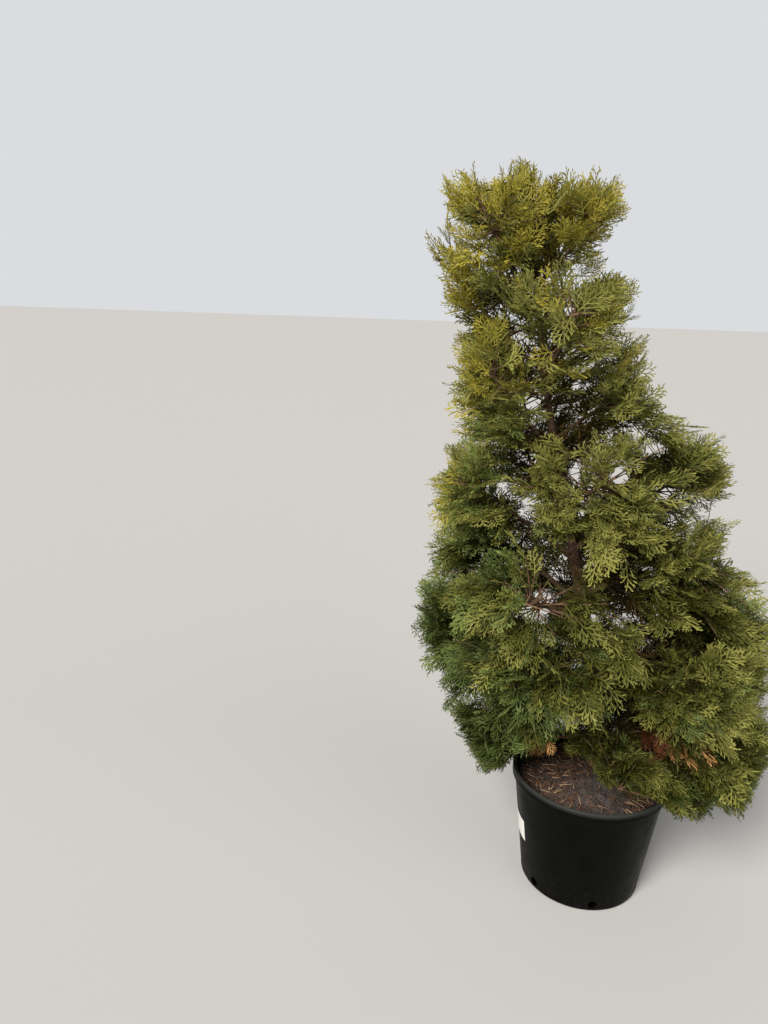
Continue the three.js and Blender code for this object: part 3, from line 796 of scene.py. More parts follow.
def mass_plan():
    plan = []
    for t, tier in enumerate(TIERS):
        for k in range(tier["count"]):
            angle = math.radians(tier["turn"] + 360 * k / tier["count"])
            droop = SKIRT_DROOP * max(0, math.cos(angle)) if t == 0 else 0
            stagger = TIER_STAGGER if (k + t) % 2 == 0 else -TIER_STAGGER
            height = tier["height"] + stagger - droop
            outward = level_way(angle)
            rise = math.radians(tier["rise"])
            mass = {
                "name": f"{tier['name']}_{k + 1}",
                "centre": trunk_axis(height) + outward * MASS_SHARE * crown_reach(angle, height),
                "along": outward * math.cos(rise) + UP * math.sin(rise),
                "angle": angle,
                "lower": 12 * (k % 3),
                "twigs": tier["twigs"],
                "seed": 101 + 37 * len(plan),
            }
            plan.append(mass)
    tip = trunk_axis(TRUNK_TOP)
    along = unit(tip - trunk_axis(TRUNK_TOP - 20))
    top = {"name": "top", "centre": tip + along * (STEM_BACK + 3 * SEAT_GAP), "along": along}
    plan.append({**top, "angle": 0, "lower": 0, "twigs": TOP_TWIGS, "seed": 101 + 37 * len(plan)})
    return plan


plan = mass_plan()
print("masses:", len(plan))

# %% [markdown]
# ## Bark
# A thuja's bark is red-brown and splits into long, flat strips that run up the stem. The trunk and every
# bough are drawn as a circle that is extruded ring by ring. Then each ring is moved to its place on the
# limb's middle line, and pushed in and out by ridges that run lengthways, so that the strips are real relief
# and not only a bump.

# %% Named values of the limbs
BOUGH_ROOT_RADIUS = 6
BOUGH_TIP_RADIUS = 2.6
BOUGH_TRUNK_SHARE = 0.6
BOUGH_BEND = 0.36
BOUGH_LEAVE = 37
BOUGH_LOWEST = 24
TRUNK_RINGS = 150
TRUNK_SIDES = 40
BOUGH_RINGS = 34
BOUGH_SIDES = 14
RIDGE_SHARE = 0.11


def bark_ridge(turn, length, radius, seed):
    """How far the bark stands out, as a share of the limb's radius: strips that run up and drift slowly."""
    reach = max(2.5, radius) / 3.0
    spot = Vector((reach * math.cos(turn), reach * math.sin(turn), length / 46 + seed))
    strips = 1 - 2 * abs(noise.noise(spot))
    fine = noise.noise(Vector((2.7 * spot.x, 2.7 * spot.y, length / 17 - seed)))
    return RIDGE_SHARE * (strips - 0.6 + 0.6 * fine)


def bark_limb(name, centres, directions, radii, sides, seed):
    """A tapering limb whose rings are extruded one after another and then laid on its middle line."""
    limb = start_disc(sides, MM)
    limb.name = name
    for _ in centres[1:]:
        bpy.ops.mesh.extrude_region_move(TRANSFORM_OT_translate={"value": (0, 0, MM)})
    bpy.ops.object.mode_set(mode="OBJECT")
    across = np.array([1.0, 0, 0]) if abs(directions[0][2]) > 0.8 else UP
    length = 0.0
    places = np.zeros((len(centres) * sides, 3))
    for ring, (centre, along, radius) in enumerate(zip(centres, directions, radii)):
        across = unit(across - along * (across @ along))
        third = np.cross(along, across)
        if ring:
            length += np.linalg.norm(centre - centres[ring - 1])
        for k in range(sides):
            turn = 2 * math.pi * k / sides
            out = radius * (1 + bark_ridge(turn, length, radius, seed))
            places[ring * sides + k] = centre + out * (across * math.cos(turn) + third * math.sin(turn))
    limb.data.vertices.foreach_set("co", (places * MM).astype(np.float32).ravel())
    limb.data.update()
    bpy.ops.object.mode_set(mode="EDIT")
    end_edit()
    return limb


# %% Trunk and boughs
def bough_curve(mass, shares):
    """Points and directions of a bough, on one bend from inside the trunk to where it enters its mass."""
    end = mass["centre"] - mass["along"] * (STEM_BACK + SEAT_GAP)
    axis = trunk_axis(end[2])
    distance = math.hypot(end[0] - axis[0], end[1] - axis[1])
    climb = distance * (0.25 + 0.75 * max(0, mass["along"][2]))
    begin = trunk_axis(max(MOUND_TOP + BOUGH_LOWEST, end[2] - climb - mass["lower"]))
    slope = math.tan(math.radians(BOUGH_LEAVE))
    leave = unit(np.array([math.cos(mass["angle"]), math.sin(mass["angle"]), slope]))
    hold = BOUGH_BEND * np.linalg.norm(end - begin)
    a, b, c, d = begin, begin + leave * hold, end - mass["along"] * hold, end
    s = shares[:, None]
    points = a * (1 - s) ** 3 + 3 * b * s * (1 - s) ** 2 + 3 * c * s**2 * (1 - s) + d * s**3
    slopes = 3 * (b - a) * (1 - s) ** 2 + 6 * (c - b) * s * (1 - s) + 3 * (d - c) * s**2
    return points, units(slopes)


def bough_radii(mass, shares):
    fine, _ = bough_curve(mass, np.linspace(0, 1, 101))
    length = np.linalg.norm(np.diff(fine, axis=0), axis=1).sum()
    stout = BOUGH_ROOT_RADIUS * min(1, 0.55 + length / 300)
    fitting = min(stout, BOUGH_TRUNK_SHARE * float(trunk_radius(fine[0][2])))
    return BOUGH_TIP_RADIUS + max(0.3, fitting - BOUGH_TIP_RADIUS) * (1 - shares)


heights = MOUND_TOP + SEAT_GAP + (TRUNK_TOP - MOUND_TOP - SEAT_GAP) * np.linspace(0, 1, TRUNK_RINGS) ** 1.2
slopes = units(trunk_axis(heights + 1) - trunk_axis(heights - 1))
slopes[0] = UP
limbs = [bark_limb("trunk_bark", trunk_axis(heights), slopes, trunk_radius(heights), TRUNK_SIDES, 0.5)]
shares = np.linspace(0.02, 1, BOUGH_RINGS)
bough_masses = [mass for mass in plan if mass["name"] != "top"]
for number, mass in enumerate(bough_masses):
    points, directions = bough_curve(mass, shares)
    radii = bough_radii(mass, shares)
    limbs.append(bark_limb("bough", points, directions, radii, BOUGH_SIDES, 3.7 + number))
bark = joined(limbs)
bpy.ops.object.shade_smooth_by_angle(angle=math.radians(45))
bark.name = "bark_limbs"
bark.data.materials.append(
    finish("bark_strips", (0.075, 0.038, 0.024), (0.205, 0.125, 0.085), 190, (0.75, 0.95), 700, 0.5, 0.12)
)
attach(bark, ROOT)
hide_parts("trunk", *[f"bough_{mass['name']}" for mass in bough_masses])
print("limbs:", len(limbs), "faces", len(bark.data.polygons))

# %% [markdown]
# ## One spray
# The leaves of a thuja are tiny scales, pressed to branchlets that lie all in one plane, like a small green
# fan. A main rib carries side ribs by turns, each side rib carries branchlets, and these fork once more. Each
# branchlet is two or three flat faces in its own outline, rolled and tilted a little, so that neighbours
# catch the light differently. Thirty sprays are drawn by a seeded rule and then copied, which is far lighter
# than drawing each. The outermost branchlets are kept apart from the rest, because the young tips have a
# lighter tint.

# %% Branchlets
RIB_WIDTH = 2.1
BRANCHLET_WIDTH = 1.95
TIP_WIDTH = 1.75
YOUNG_FROM = 0.58
YOUNG_ASIDE = 0.24
ROLL_SCATTER = 30
TILT_SCATTER = 0.16
WIDEST_AT = 0.6
SHOULDER_AT = 0.8
FOOT_WIDTH = 0.36


def strip(begin, heading, length, width, rng, pointed):
    """One branchlet: a blade of two faces where it is pointed, or of three with a shoulder near its end."""
    along = level_way(heading)
    side = np.array([-math.sin(heading), math.cos(heading), 0])
    roll = math.radians(rng.normal(0, ROLL_SCATTER))
    side = side * math.cos(roll) + UP * math.sin(roll)
    end = begin + along * length + UP * rng.normal(0, TILT_SCATTER) * length
    if pointed:
        middle = begin + (end - begin) * WIDEST_AT
        points = [begin, middle + side * width / 2, end, middle - side * width / 2]
        return np.array(points), np.array([[0, 1, 2], [0, 2, 3]])
    shoulder = begin + (end - begin) * SHOULDER_AT
    points = [
        begin - side * FOOT_WIDTH * width,
        begin + side * FOOT_WIDTH * width,
        shoulder + side * width / 2,
        shoulder - side * width / 2,
        end,
    ]
    return np.array(points), np.array([[0, 1, 2], [0, 2, 3], [3, 2, 4]])


# %% Spray templates
RIB_STEPS = 5
RIB_BEND = 0.22
RIB_TAPER = 0.55
PLACE_SCATTER = 0.35
SIDE_RIBS = {"share": 0.95, "angle": 43, "closing": 17, "scatter": 5, "length": 0.56, "least": 0.11}
SIDE_RIB_LENGTHS = [0.8, 1.15]
FORKS = {"share": 0.9, "spacing": 0.86, "angle": 32, "closing": 8, "scatter": 6, "length": 0.42, "least": 3.6}
FORK_EXTRA = 2.2
FORK_LONGEST = 15
FORK_POINTED = 9
FORK_AGAIN = 8.5
LAST_FORK = {"angle": 28, "length": 0.5, "least": 1.5}
TAPER_POWER = 0.8


def spray_template(length, spacing, forks, rng, thick=1.0):
    """A flat spray along +X, as its older and its young branchlets. forks is how often it branches."""
    old, young = [], []
    bend = rng.normal(0, RIB_BEND)
    steps = RIB_STEPS
    stations = np.linspace(0, 1, steps + 1)
    rib = [np.zeros(3)]
    for k in range(steps):
        rib.append(rib[-1] + level_way(bend * (k + 0.5) / steps) * length / steps)
    rib = np.array(rib)
    widths = np.linspace(RIB_WIDTH, RIB_TAPER * RIB_WIDTH, steps + 1)[:, None] * thick / 2
    side = np.array([0, 1.0, 0])
    rib_faces = []
    for k in range(steps):
        a, b = k, k + steps + 1
        rib_faces += [[a, a + 1, b + 1], [a, b + 1, b]]
    old.append((np.concatenate([rib - side * widths, rib + side * widths]), np.array(rib_faces)))

    def add(block, root):
        is_young = root[0] > YOUNG_FROM * length or abs(root[1]) > YOUNG_ASIDE * length
        (young if is_young else old).append(block)

    count = int(length * SIDE_RIBS["share"] / spacing)
    for k in range(count):
        share = (k + 0.5 + PLACE_SCATTER * rng.random()) / (count + 0.15)
        way = 1 if k % 2 else -1
        root = np.array([np.interp(share, stations, rib[:, i]) for i in range(3)])
        degrees = SIDE_RIBS["angle"] - SIDE_RIBS["closing"] * share + rng.normal(0, SIDE_RIBS["scatter"])
        angle = way * math.radians(degrees) + bend * share
        outline = SIDE_RIBS["length"] * (1 - share) ** TAPER_POWER * min(1, 0.5 + 2.4 * share)
        rib_length = length * (outline + SIDE_RIBS["least"]) * rng.uniform(*SIDE_RIB_LENGTHS)
        add(strip(root, angle, rib_length, BRANCHLET_WIDTH * thick, rng, False), root)
        small = int(rib_length * FORKS["share"] / (spacing * FORKS["spacing"])) if forks > 1 else 0
        for j in range(small):
            part = (j + 0.7 + PLACE_SCATTER * rng.random()) / (small + 0.35)
            turn = 1 if (j + k) % 2 else -1
            degrees = FORKS["angle"] - FORKS["closing"] * part + rng.normal(0, FORKS["scatter"])
            fork_angle = angle + turn * math.radians(degrees)
            fork_root = root + level_way(angle) * rib_length * part
            tapered = FORKS["length"] * rib_length * (1 - part) ** TAPER_POWER + FORKS["least"]
            fork_length = min(FORK_LONGEST, tapered + rng.uniform(0, FORK_EXTRA))
            pointed = fork_length < FORK_POINTED
            add(strip(fork_root, fork_angle, fork_length, BRANCHLET_WIDTH * thick, rng, pointed), fork_root)
            if forks > 2 and fork_length > FORK_AGAIN:
                last_angle = fork_angle + rng.choice([-1, 1]) * math.radians(LAST_FORK["angle"])
                last_root = fork_root + level_way(fork_angle) * fork_length * 0.5
                last_length = LAST_FORK["length"] * fork_length + LAST_FORK["least"]
                add(strip(last_root, last_angle, last_length, TIP_WIDTH * thick, rng, True), last_root)
    return stacked(old), stacked(young)


shapes = np.random.default_rng(7)
SPRAY_KINDS = {
    "long": {"natural": 72, "shapes": [spray_template(72, 5.6, 3, shapes) for _ in range(12)]},
    "short": {"natural": 46, "shapes": [spray_template(46, 5.0, 2, shapes) for _ in range(8)]},
    "middle": {"natural": 66, "shapes": [spray_template(66, 6.4, 2, shapes, 1.12) for _ in range(6)]},
    "inner": {"natural": 70, "shapes": [spray_template(70, 9.0, 2, shapes, 1.3) for _ in range(4)]},
}
for label, kind in SPRAY_KINDS.items():
    print(label, "sprays of", [(len(old[1]), len(young[1])) for old, young in kind["shapes"]], "faces")

# %% [markdown]
# ## Twigs by the rule
# Each mass has one stem that carries on from its bough. Twigs leave the stem a golden turn apart, the first
# ones wide and the last ones close to its direction. The solids draw seven to nine twigs on a stem. The same
# rule is run again with other seeds between those, which carries the mass to the fullness of the real one in
# the same space.

# %% Cells and room
ROOM_STEP = 4
ROOM_STEPS = np.arange(1, 101) * ROOM_STEP


def cell_planes(mass):
    others = np.array([other["centre"] for other in plan if other is not mass])
    normals = others - mass["centre"]
    middles = mass["centre"] + 0.5 * normals
    normals = units(normals)
    return normals, (normals * middles).sum(axis=1) - CELL_MARGIN


def inside_crown(points, slack=0.0):
    radius, angle = from_trunk(points)
    within = radius < crown_reach(angle, points[:, 2]) + slack
    return within & (points[:, 2] > crown_hem(angle) - slack) & (points[:, 2] <= CROWN_TOP + slack)


def room_along(begin, direction, planes, slack=0.0):
    """How far a ray runs before it leaves the mass's cell or the crown."""
    points = begin + direction * ROOM_STEPS[:, None]
    kept = (points @ planes[0].T < planes[1] + slack).all(axis=1) & inside_crown(points, slack)
    return ROOM_STEP * (len(kept) if kept.all() else int(np.argmin(kept)))


# %% The twig rule
TWIG_SHARE = 0.36
STEM_SHARE = 0.7
TURN_SCATTER = 30
GOLDEN_TURN = 137.5077
SPRAY_TILT = 100
LAST_SPLAY = 10
FIRST_RUN = {
    "first": 108,
    "closing": 60,
    "power": 1.3,
    "scatter": 14,
    "start": 0.22,
    "spread": 0.46,
}
CLOSE_RUN = {
    "first": 88,
    "closing": 74,
    "power": 1.0,
    "scatter": 24,
    "start": 0.26,
    "spread": 0.56,
}


def twig_rule(mass, planes, seed, splays, count):
    """The twigs of one run of the rule: where each leaves the stem, its direction and its plane."""
    random = seeded(seed)
    begin = mass["centre"] - mass["along"] * STEM_BACK
    way = STEM_BACK + room_along(mass["centre"], mass["along"], planes)
    level = np.array([1.0, 0, 0]) if abs(mass["along"][2]) > 0.9 else UP
    across_stem = unit(level - mass["along"] * (level @ mass["along"]))
    first_turn = 360 * next(random)
    twigs = []
    for k in range(count):
        order = (k + 0.5) / count
        turn = first_turn + GOLDEN_TURN * k + TURN_SCATTER * (next(random) - 0.5)
        splay = splays["first"] - splays["closing"] * order ** splays["power"]
        splay += splays["scatter"] * (next(random) - 0.5)
        splay = math.radians(LAST_SPLAY if k == count - 1 else splay)
        side = turned(across_stem, mass["along"], turn)
        along = mass["along"] * math.cos(splay) + side * math.sin(splay)
        across = turned(unit(np.cross(along, mass["along"])), along, SPRAY_TILT * (next(random) - 0.5))
        root = begin + mass["along"] * way * (splays["start"] + splays["spread"] * order)
        twigs.append({"root": root, "along": along, "across": across})
    return begin, way, twigs


# %% [markdown]
# ## The crown's drift
# Sprays don't stand out like the rays of a star. All over the tree they lean the same way: outward from the
# trunk, hanging a little on the low boughs, level half way up and rising near the top, more so on the right.
# So each spray's own direction and plane are mixed with this drift of the whole crown.

# %% Drift
DRIFT_HEIGHTS = [200, 450, 700, 900, 1100, 1200]
DRIFT_RISE = [-0.75, -0.5, -0.15, 0.3, 0.9, 1.4]
DRIFT_RIGHT_RISE = 0.45
DRIFT_LEAST = 0.25
DRIFT_MOST = 0.7


def crown_drift(point):
    """The drift's direction at a point, and the level direction across it."""
    outward = point - trunk_axis(point[2])
    outward[2] = 0
    outward = unit(outward)
    rise = np.interp(point[2], DRIFT_HEIGHTS, DRIFT_RISE) + DRIFT_RIGHT_RISE * max(0, outward[0])
    return unit(outward + UP * rise), np.cross(UP, outward)


# %% [markdown]
# ## Fronds
# A twig of a thuja is itself flat: it carries sprays by turns on its two sides, long ones near its base and
# short ones near its tip, and ends in one more. Each twig of the rule becomes such a frond, in the plane of
# the solids' blade. It droops a little under its own weight, more on the low boughs than at the top.

# %% Fronds on every twig
RUN_SEED = 7919
CLOSE_RUNS = 3
FROND_LONGEST = 175
FROND_SHORTEST = 46
CELL_SLACK = 12
SPRAY_EVERY = 17
SPRAY_LENGTH = 74
SPRAY_SHORTEST = 26
SPRAY_TIP_LENGTH = 24
SPRAY_GAIN = 0.6
SPRAY_LENGTHS = [0.72, 1.12]
SPRAY_GAPS = [0.75, 1.25]
SPRAY_ANGLE = 50
SPRAY_CLOSING = 20
SPRAY_SCATTER = 7
PLANE_SCATTER = 32
BARE_SHARE = 0.1
BARE_LEAST = 8
FROND_DROOP = 0.12
FROND_RISE = 0.16
DROOP_SCATTER = 0.05
growth = np.random.default_rng(19)
fronds = []
sprays = []


def grow_frond(twig, total, bare=0.0):
    """Sprays by turns along one twig, beyond its bare length, and the twig's own path."""
    height_share = (twig["root"][2] - CROWN_FOOT) / (CROWN_TOP - CROWN_FOOT)
    droop = growth.normal(FROND_DROOP - FROND_RISE * height_share, DROOP_SCATTER)
    face = unit(np.cross(twig["along"], twig["across"]))

    def at(t):
        return twig["root"] + twig["along"] * t - UP * droop * t * t / total

    def heading(t):
        return unit(twig["along"] - UP * 2 * droop * t / total)

    def add_spray(t, along, length):
        drift, level = crown_drift(at(t))
        share = growth.uniform(DRIFT_LEAST, DRIFT_MOST)
        along = unit(along * (1 - share) + drift * share)
        across = np.cross(face, along)
        across = across * (1 - share) + level * share * (1 if across @ level > 0 else -1)
        across = unit(across - along * (across @ along))
        across = turned(across, along, growth.normal(0, PLANE_SCATTER))
        sprays.append((len(fronds), t / total, at(t), along, across, length, growth.random()))

    t = max(BARE_LEAST, BARE_SHARE * total, bare)
    way = growth.choice([-1, 1])
    while t < total - SPRAY_SHORTEST:
        longest = min(SPRAY_LENGTH, SPRAY_TIP_LENGTH + SPRAY_GAIN * (total - t))
        length = longest * growth.uniform(*SPRAY_LENGTHS)
        angle = (SPRAY_ANGLE - SPRAY_CLOSING * t / total + growth.normal(0, SPRAY_SCATTER)) * way
        add_spray(t, turned(heading(t), face, angle), length)
        way = -way
        t += SPRAY_EVERY * growth.uniform(*SPRAY_GAPS)
    tip = max(0.45 * total, total - SPRAY_LENGTH)
    add_spray(tip, heading(tip), total - tip + 4)
    fronds.append(np.array([at(t) for t in np.linspace(0, total, 8)]))


stems = []
for mass in plan:
    planes = cell_planes(mass)
    begin, way, twigs = twig_rule(mass, planes, mass["seed"], FIRST_RUN, mass["twigs"])
    for run in range(1, CLOSE_RUNS + 1):
        twigs += twig_rule(mass, planes, mass["seed"] + RUN_SEED * run, CLOSE_RUN, mass["twigs"] + 1)[2]
    for twig in twigs:
        room = room_along(twig["root"], twig["along"], planes)
        wide = room_along(twig["root"], twig["along"], planes, CELL_SLACK)
        total = min(TWIG_SHARE * room + FROND_LONGEST, wide)
        if total > FROND_SHORTEST:
            grow_frond(twig, total)
    stems.append((begin, begin + mass["along"] * STEM_SHARE * way))
print("fronds on the stems:", len(fronds), "sprays:", len(sprays))

# %% [markdown]
# The boughs themselves and the upper trunk also carry short, leafy twigs. They close the space between the
# masses, where the solids only show their limbs.

# %% Fronds on the limbs
BOUGH_FROND_SHARES = [0.45, 0.7, 0.92]
BOUGH_FROND = 120
TRUNK_FROND = 135
TRUNK_FROND_LOWEST = 420
TRUNK_FROND_EVERY = 12


def limb_frond(root, base, outward, most):
    side = turned(np.cross(base, UP) if abs(base[2]) < 0.9 else outward, base, growth.uniform(0, 360))
    along = unit(base * growth.uniform(0.2, 0.9) + side * growth.uniform(0.4, 1) + outward * 0.4)
    across = unit(np.cross(along, UP))
    points = root + along * ROOM_STEPS[:, None]
    room = ROOM_STEP * int(np.argmin(np.append(inside_crown(points), False)))
    total = min(room, most * growth.uniform(0.7, 1.1))
    if total > FROND_SHORTEST:
        grow_frond({"root": root, "along": along, "across": across}, total)


for mass in bough_masses:
    points, directions = bough_curve(mass, np.array(BOUGH_FROND_SHARES))
    outward = level_way(mass["angle"])
    for root, base in zip(points, directions):
        limb_frond(root, base, outward, BOUGH_FROND)
for number, height in enumerate(np.arange(TRUNK_FROND_LOWEST, TRUNK_TOP, TRUNK_FROND_EVERY)):
    turn = math.radians(GOLDEN_TURN * number)
    outward = level_way(turn)
    limb_frond(trunk_axis(height), unit(UP + outward), outward, TRUNK_FROND)
print("fronds in all:", len(fronds), "sprays:", len(sprays))

# %% [markdown]
# ## Twigs that reach for the light
# The solids' reach is a smooth one. The real outline has notches between the tiers, and it was measured at
# more heights. Wherever light falls on the crown, a twig has grown towards it. So spots are spread evenly
# over the whole outline, and over three shells inside it, a golden turn apart. Where few sprays are near a
# spot, a frond grows to it from a near limb, leafy in its outer part.

# %% The outline
HEM_LIFT = 10
HEM_NEAR_SOIL = 219
DOME = 0.2
DOME_DROP = 8
OUTLINE = [
    {"height": 100, "left": 120, "right": 244},
    {"height": 183, "left": 206, "right": 272},
    {"height": 243, "left": 236, "right": 298},
    {"height": 311, "left": 254, "right": 302},
    {"height": 382, "left": 274, "right": 290},
    {"height": 482, "left": 288, "right": 306},
    {"height": 514, "left": 282, "right": 308},
    {"height": 563, "left": 258, "right": 308},
    {"height": 594, "left": 244, "right": 298},
    {"height": 603, "left": 240, "right": 250},
    {"height": 622, "left": 230, "right": 243},
    {"height": 700, "left": 212, "right": 262},
    {"height": 745, "left": 184, "right": 282},
    {"height": 785, "left": 162, "right": 264},
    {"height": 823, "left": 149, "right": 244},
    {"height": 837, "left": 147, "right": 246},
    {"height": 847, "left": 145, "right": 202},
    {"height": 904, "left": 142, "right": 156},
    {"height": 951, "left": 142, "right": 154},
    {"height": 1004, "left": 140, "right": 148},
    {"height": 1044, "left": 145, "right": 154},
    {"height": 1054, "left": 149, "right": 98},
    {"height": 1066, "left": 151, "right": 100},
    {"height": 1105, "left": 151, "right": 112},
    {"height": 1145, "left": 134, "right": 124},
    {"height": 1180, "left": 112, "right": 112},
    {"height": 1206, "left": 76, "right": 92},
]
OUTLINE_HEIGHTS = [row["height"] for row in OUTLINE]
OUTLINE_LEFT = [row["left"] for row in OUTLINE]
OUTLINE_RIGHT = [row["right"] for row in OUTLINE]


def outline_reach(angle, height):
    """How far the outline is from the trunk: the measured sides, and a depth that narrows as they do."""
    left = np.interp(height, OUTLINE_HEIGHTS, OUTLINE_LEFT)
    right = np.interp(height, OUTLINE_HEIGHTS, OUTLINE_RIGHT)
    smooth_left, smooth_right, depth = reach_at(height)
    narrowing = np.minimum(1, (left + right) / (smooth_left + smooth_right))
    return oval_reach(angle, left, right, depth * narrowing)


def outline_hem(angle):
    """The outline's lowest reach on each side. In front it hangs nearly to the soil."""
    in_front = np.minimum(crown_hem(angle) + HEM_LIFT, HEM_NEAR_SOIL)
    return np.where(np.sin(angle) < 0, in_front, crown_hem(angle))


def inside_outline(points, slack):
    radius, angle = from_trunk(points)
    within = radius < outline_reach(angle, points[:, 2]) + slack
    top = CROWN_TOP - DOME_DROP + 0.5 * slack - DOME * radius
    return within & (points[:, 2] > outline_hem(angle)) & (points[:, 2] <= top)


# %% Fronds to the outline
LIGHT_SHELLS = [
    {"depth": 0.93, "spots": 1100, "near": 36, "enough": 7},
    {"depth": 0.76, "spots": 640, "near": 40, "enough": 6},
    {"depth": 0.52, "spots": 420, "near": 44, "enough": 6},
    {"depth": 0.30, "spots": 240, "near": 46, "enough": 5},
]
THIN_EXTRA = 120
LIGHT_TOP_SPOTS = 60
LIGHT_TOP = 1172
LIGHT_LOWEST = 130
LIGHT_REACH = 270
LIGHT_LEAFY = 110
BELOW_SLACK = 25
ROOT_SCATTER = 1.6
steps = np.linspace(0, 1, 12)
limb_points = [trunk_axis(np.arange(330, TRUNK_TOP, 12.0))]
limb_points += [bough_curve(mass, np.linspace(0.2, 1, 12))[0] for mass in bough_masses]
limb_points += [begin + (end - begin) * steps[:, None] for begin, end in stems]
limb_points = np.concatenate(limb_points)
levels = np.arange(LIGHT_LOWEST, CROWN_TOP, 4.0)
girth = np.interp(levels, OUTLINE_HEIGHTS, np.add(OUTLINE_LEFT, OUTLINE_RIGHT))
filled = np.cumsum(girth + THIN_EXTRA) / (girth + THIN_EXTRA).sum()
middles = []


def spread_spot(number, count):
    """The turn and the height of one of many spots that cover the outline evenly, a golden turn apart."""
    height = float(np.interp((number + 0.5) / count, filled, levels))
    return np.array(math.radians(GOLDEN_TURN * number % 360 - 180)), height


def reach_for(spot, near, enough):
    """Unless it is leafy enough there, a frond to the spot from a near limb that is not above it."""
    while len(middles) < len(sprays):
        _, _, at, along, _, length, _ = sprays[len(middles)]
        middles.append(at + along * (0.6 * length))
    if (np.linalg.norm(np.array(middles) - spot, axis=1) < near).sum() >= enough:
        return
    far = np.linalg.norm(limb_points - spot, axis=1)
    unfit = (limb_points[:, 2] > spot[2] + BELOW_SLACK) | (far < FROND_SHORTEST + 10)
    choice = far * growth.uniform(1, ROOT_SCATTER, len(far)) + 1000 * unfit
    nearest = int(np.argmin(choice))
    root, total = limb_points[nearest], float(far[nearest])
    if FROND_SHORTEST < total < LIGHT_REACH:
        along = unit(spot - root)
        across = turned(unit(np.cross(along, UP)), along, growth.normal(0, 40))
        grow_frond({"root": root, "along": along, "across": across}, total, total - LIGHT_LEAFY)


for shell in LIGHT_SHELLS:
    for number in range(shell["spots"]):
        turn, height = spread_spot(number, shell["spots"])
        if height > outline_hem(turn) + HEM_LIFT:
            outward = level_way(turn)
            spot = trunk_axis(height) + outward * outline_reach(turn, height) * shell["depth"]
            reach_for(spot, shell["near"], shell["enough"])
for number in range(LIGHT_TOP_SPOTS):
    turn, _ = spread_spot(number, LIGHT_TOP_SPOTS)
    out = math.sqrt((number + 0.5) / LIGHT_TOP_SPOTS) * outline_reach(turn, LIGHT_TOP)
    outward = level_way(turn)
    reach_for(trunk_axis(LIGHT_TOP) + outward * out, LIGHT_SHELLS[0]["near"], LIGHT_SHELLS[0]["enough"])
print("fronds with those to the outline:", len(fronds), "sprays:", len(sprays))

# %% [markdown]
# ## Tufts
# The crown's surface isn't smooth. It bulges in tufts about a hand wide, with dark hollows between them. So
# tufts are spread over the outline, a golden turn apart, and the farther a spray is from the nearest tuft's
# middle, the deeper it is trimmed.

# %% Tufts
TUFTS = 190
TUFT_BULGE = 14
TUFT_HOLLOW = 20
TUFT_SPREAD = [20, 52]
TUFT_SHIFT = 14
TUFT_TURN = 0.12
TUFT_DEPTHS = [0.88, 0.98]
tuft_middles = []
for number in range(TUFTS):
    turn, height = spread_spot(number, TUFTS)
    height += growth.uniform(-TUFT_SHIFT, TUFT_SHIFT)
    turn = turn + growth.uniform(-TUFT_TURN, TUFT_TURN)
    deep = outline_reach(turn, height) * growth.uniform(*TUFT_DEPTHS)
    tuft_middles.append(trunk_axis(height) + level_way(turn) * deep)
tuft_middles = np.array(tuft_middles)


def tuft_of(points):
    """For each point, how far between the tufts it is, from 0 to 1, and how high above its tuft's middle."""
    far = np.linalg.norm(points[:, None] - tuft_middles[None], axis=2)
    nearest = np.argmin(far, axis=1)
    between = np.clip((far.min(axis=1) - TUFT_SPREAD[0]) / (TUFT_SPREAD[1] - TUFT_SPREAD[0]), 0, 1)
    return between, points[:, 2] - tuft_middles[nearest, 2]


print("tufts:", len(tuft_middles))

# %% [markdown]
# ## Trimming
# A spray is tried at its tip and at its sides, bent as it will be. Where it hangs out of the outline, or into
# the pot, the soil or the trunk, it is shortened, and where a short one does not fit either it is left out,
# as a gardener would trim it. The photograph shows sky through some openings. Most twigs end where they would
# cross one, and later the sprays round an opening lose the branchlets that would show in it.

# %% Openings
OPENING_SHARE = 0.85
OPENINGS = [
    {"x": -105, "z": 997, "wide": 10, "high": 8},
    {"x": -79, "z": 995, "wide": 6, "high": 9},
    {"x": -151, "z": 856, "wide": 15, "high": 13},
    {"x": -85, "z": 884, "wide": 8, "high": 6},
    {"x": -144, "z": 761, "wide": 8, "high": 10},
    {"x": -73, "z": 745, "wide": 10, "high": 24},
    {"x": -49, "z": 715, "wide": 9, "high": 9},
    {"x": -57, "z": 675, "wide": 6, "high": 9},
    {"x": -1, "z": 741, "wide": 20, "high": 21},
    {"x": 48, "z": 787, "wide": 24, "high": 9},
    {"x": 77, "z": 718, "wide": 18, "high": 17},
    {"x": -105, "z": 519, "wide": 28, "high": 36},
    {"x": -84, "z": 562, "wide": 12, "high": 16},
    {"x": -17, "z": 493, "wide": 10, "high": 13},
]


def seen_at(points):
    """Where points appear from the photograph's viewpoint: x and z on the upright plane at the trunk."""
    eye = np.array(CAMERA_PLACE) / MM
    share = (TRUNK_ROOT_Y - eye[1]) / (points[:, 1] - eye[1])
    return eye[0] + (points[:, 0] - eye[0]) * share, eye[2] + (points[:, 2] - eye[2]) * share


def clear_of_openings(points, share=OPENING_SHARE):
    """Which points don't show in any opening. A smaller share of its size is a smaller opening."""
    x, z = seen_at(points)
    clear = np.ones(len(points), bool)
    for opening in OPENINGS:
        clear &= np.hypot((x - opening["x"]) / opening["wide"], (z - opening["z"]) / opening["high"]) > share
    return clear


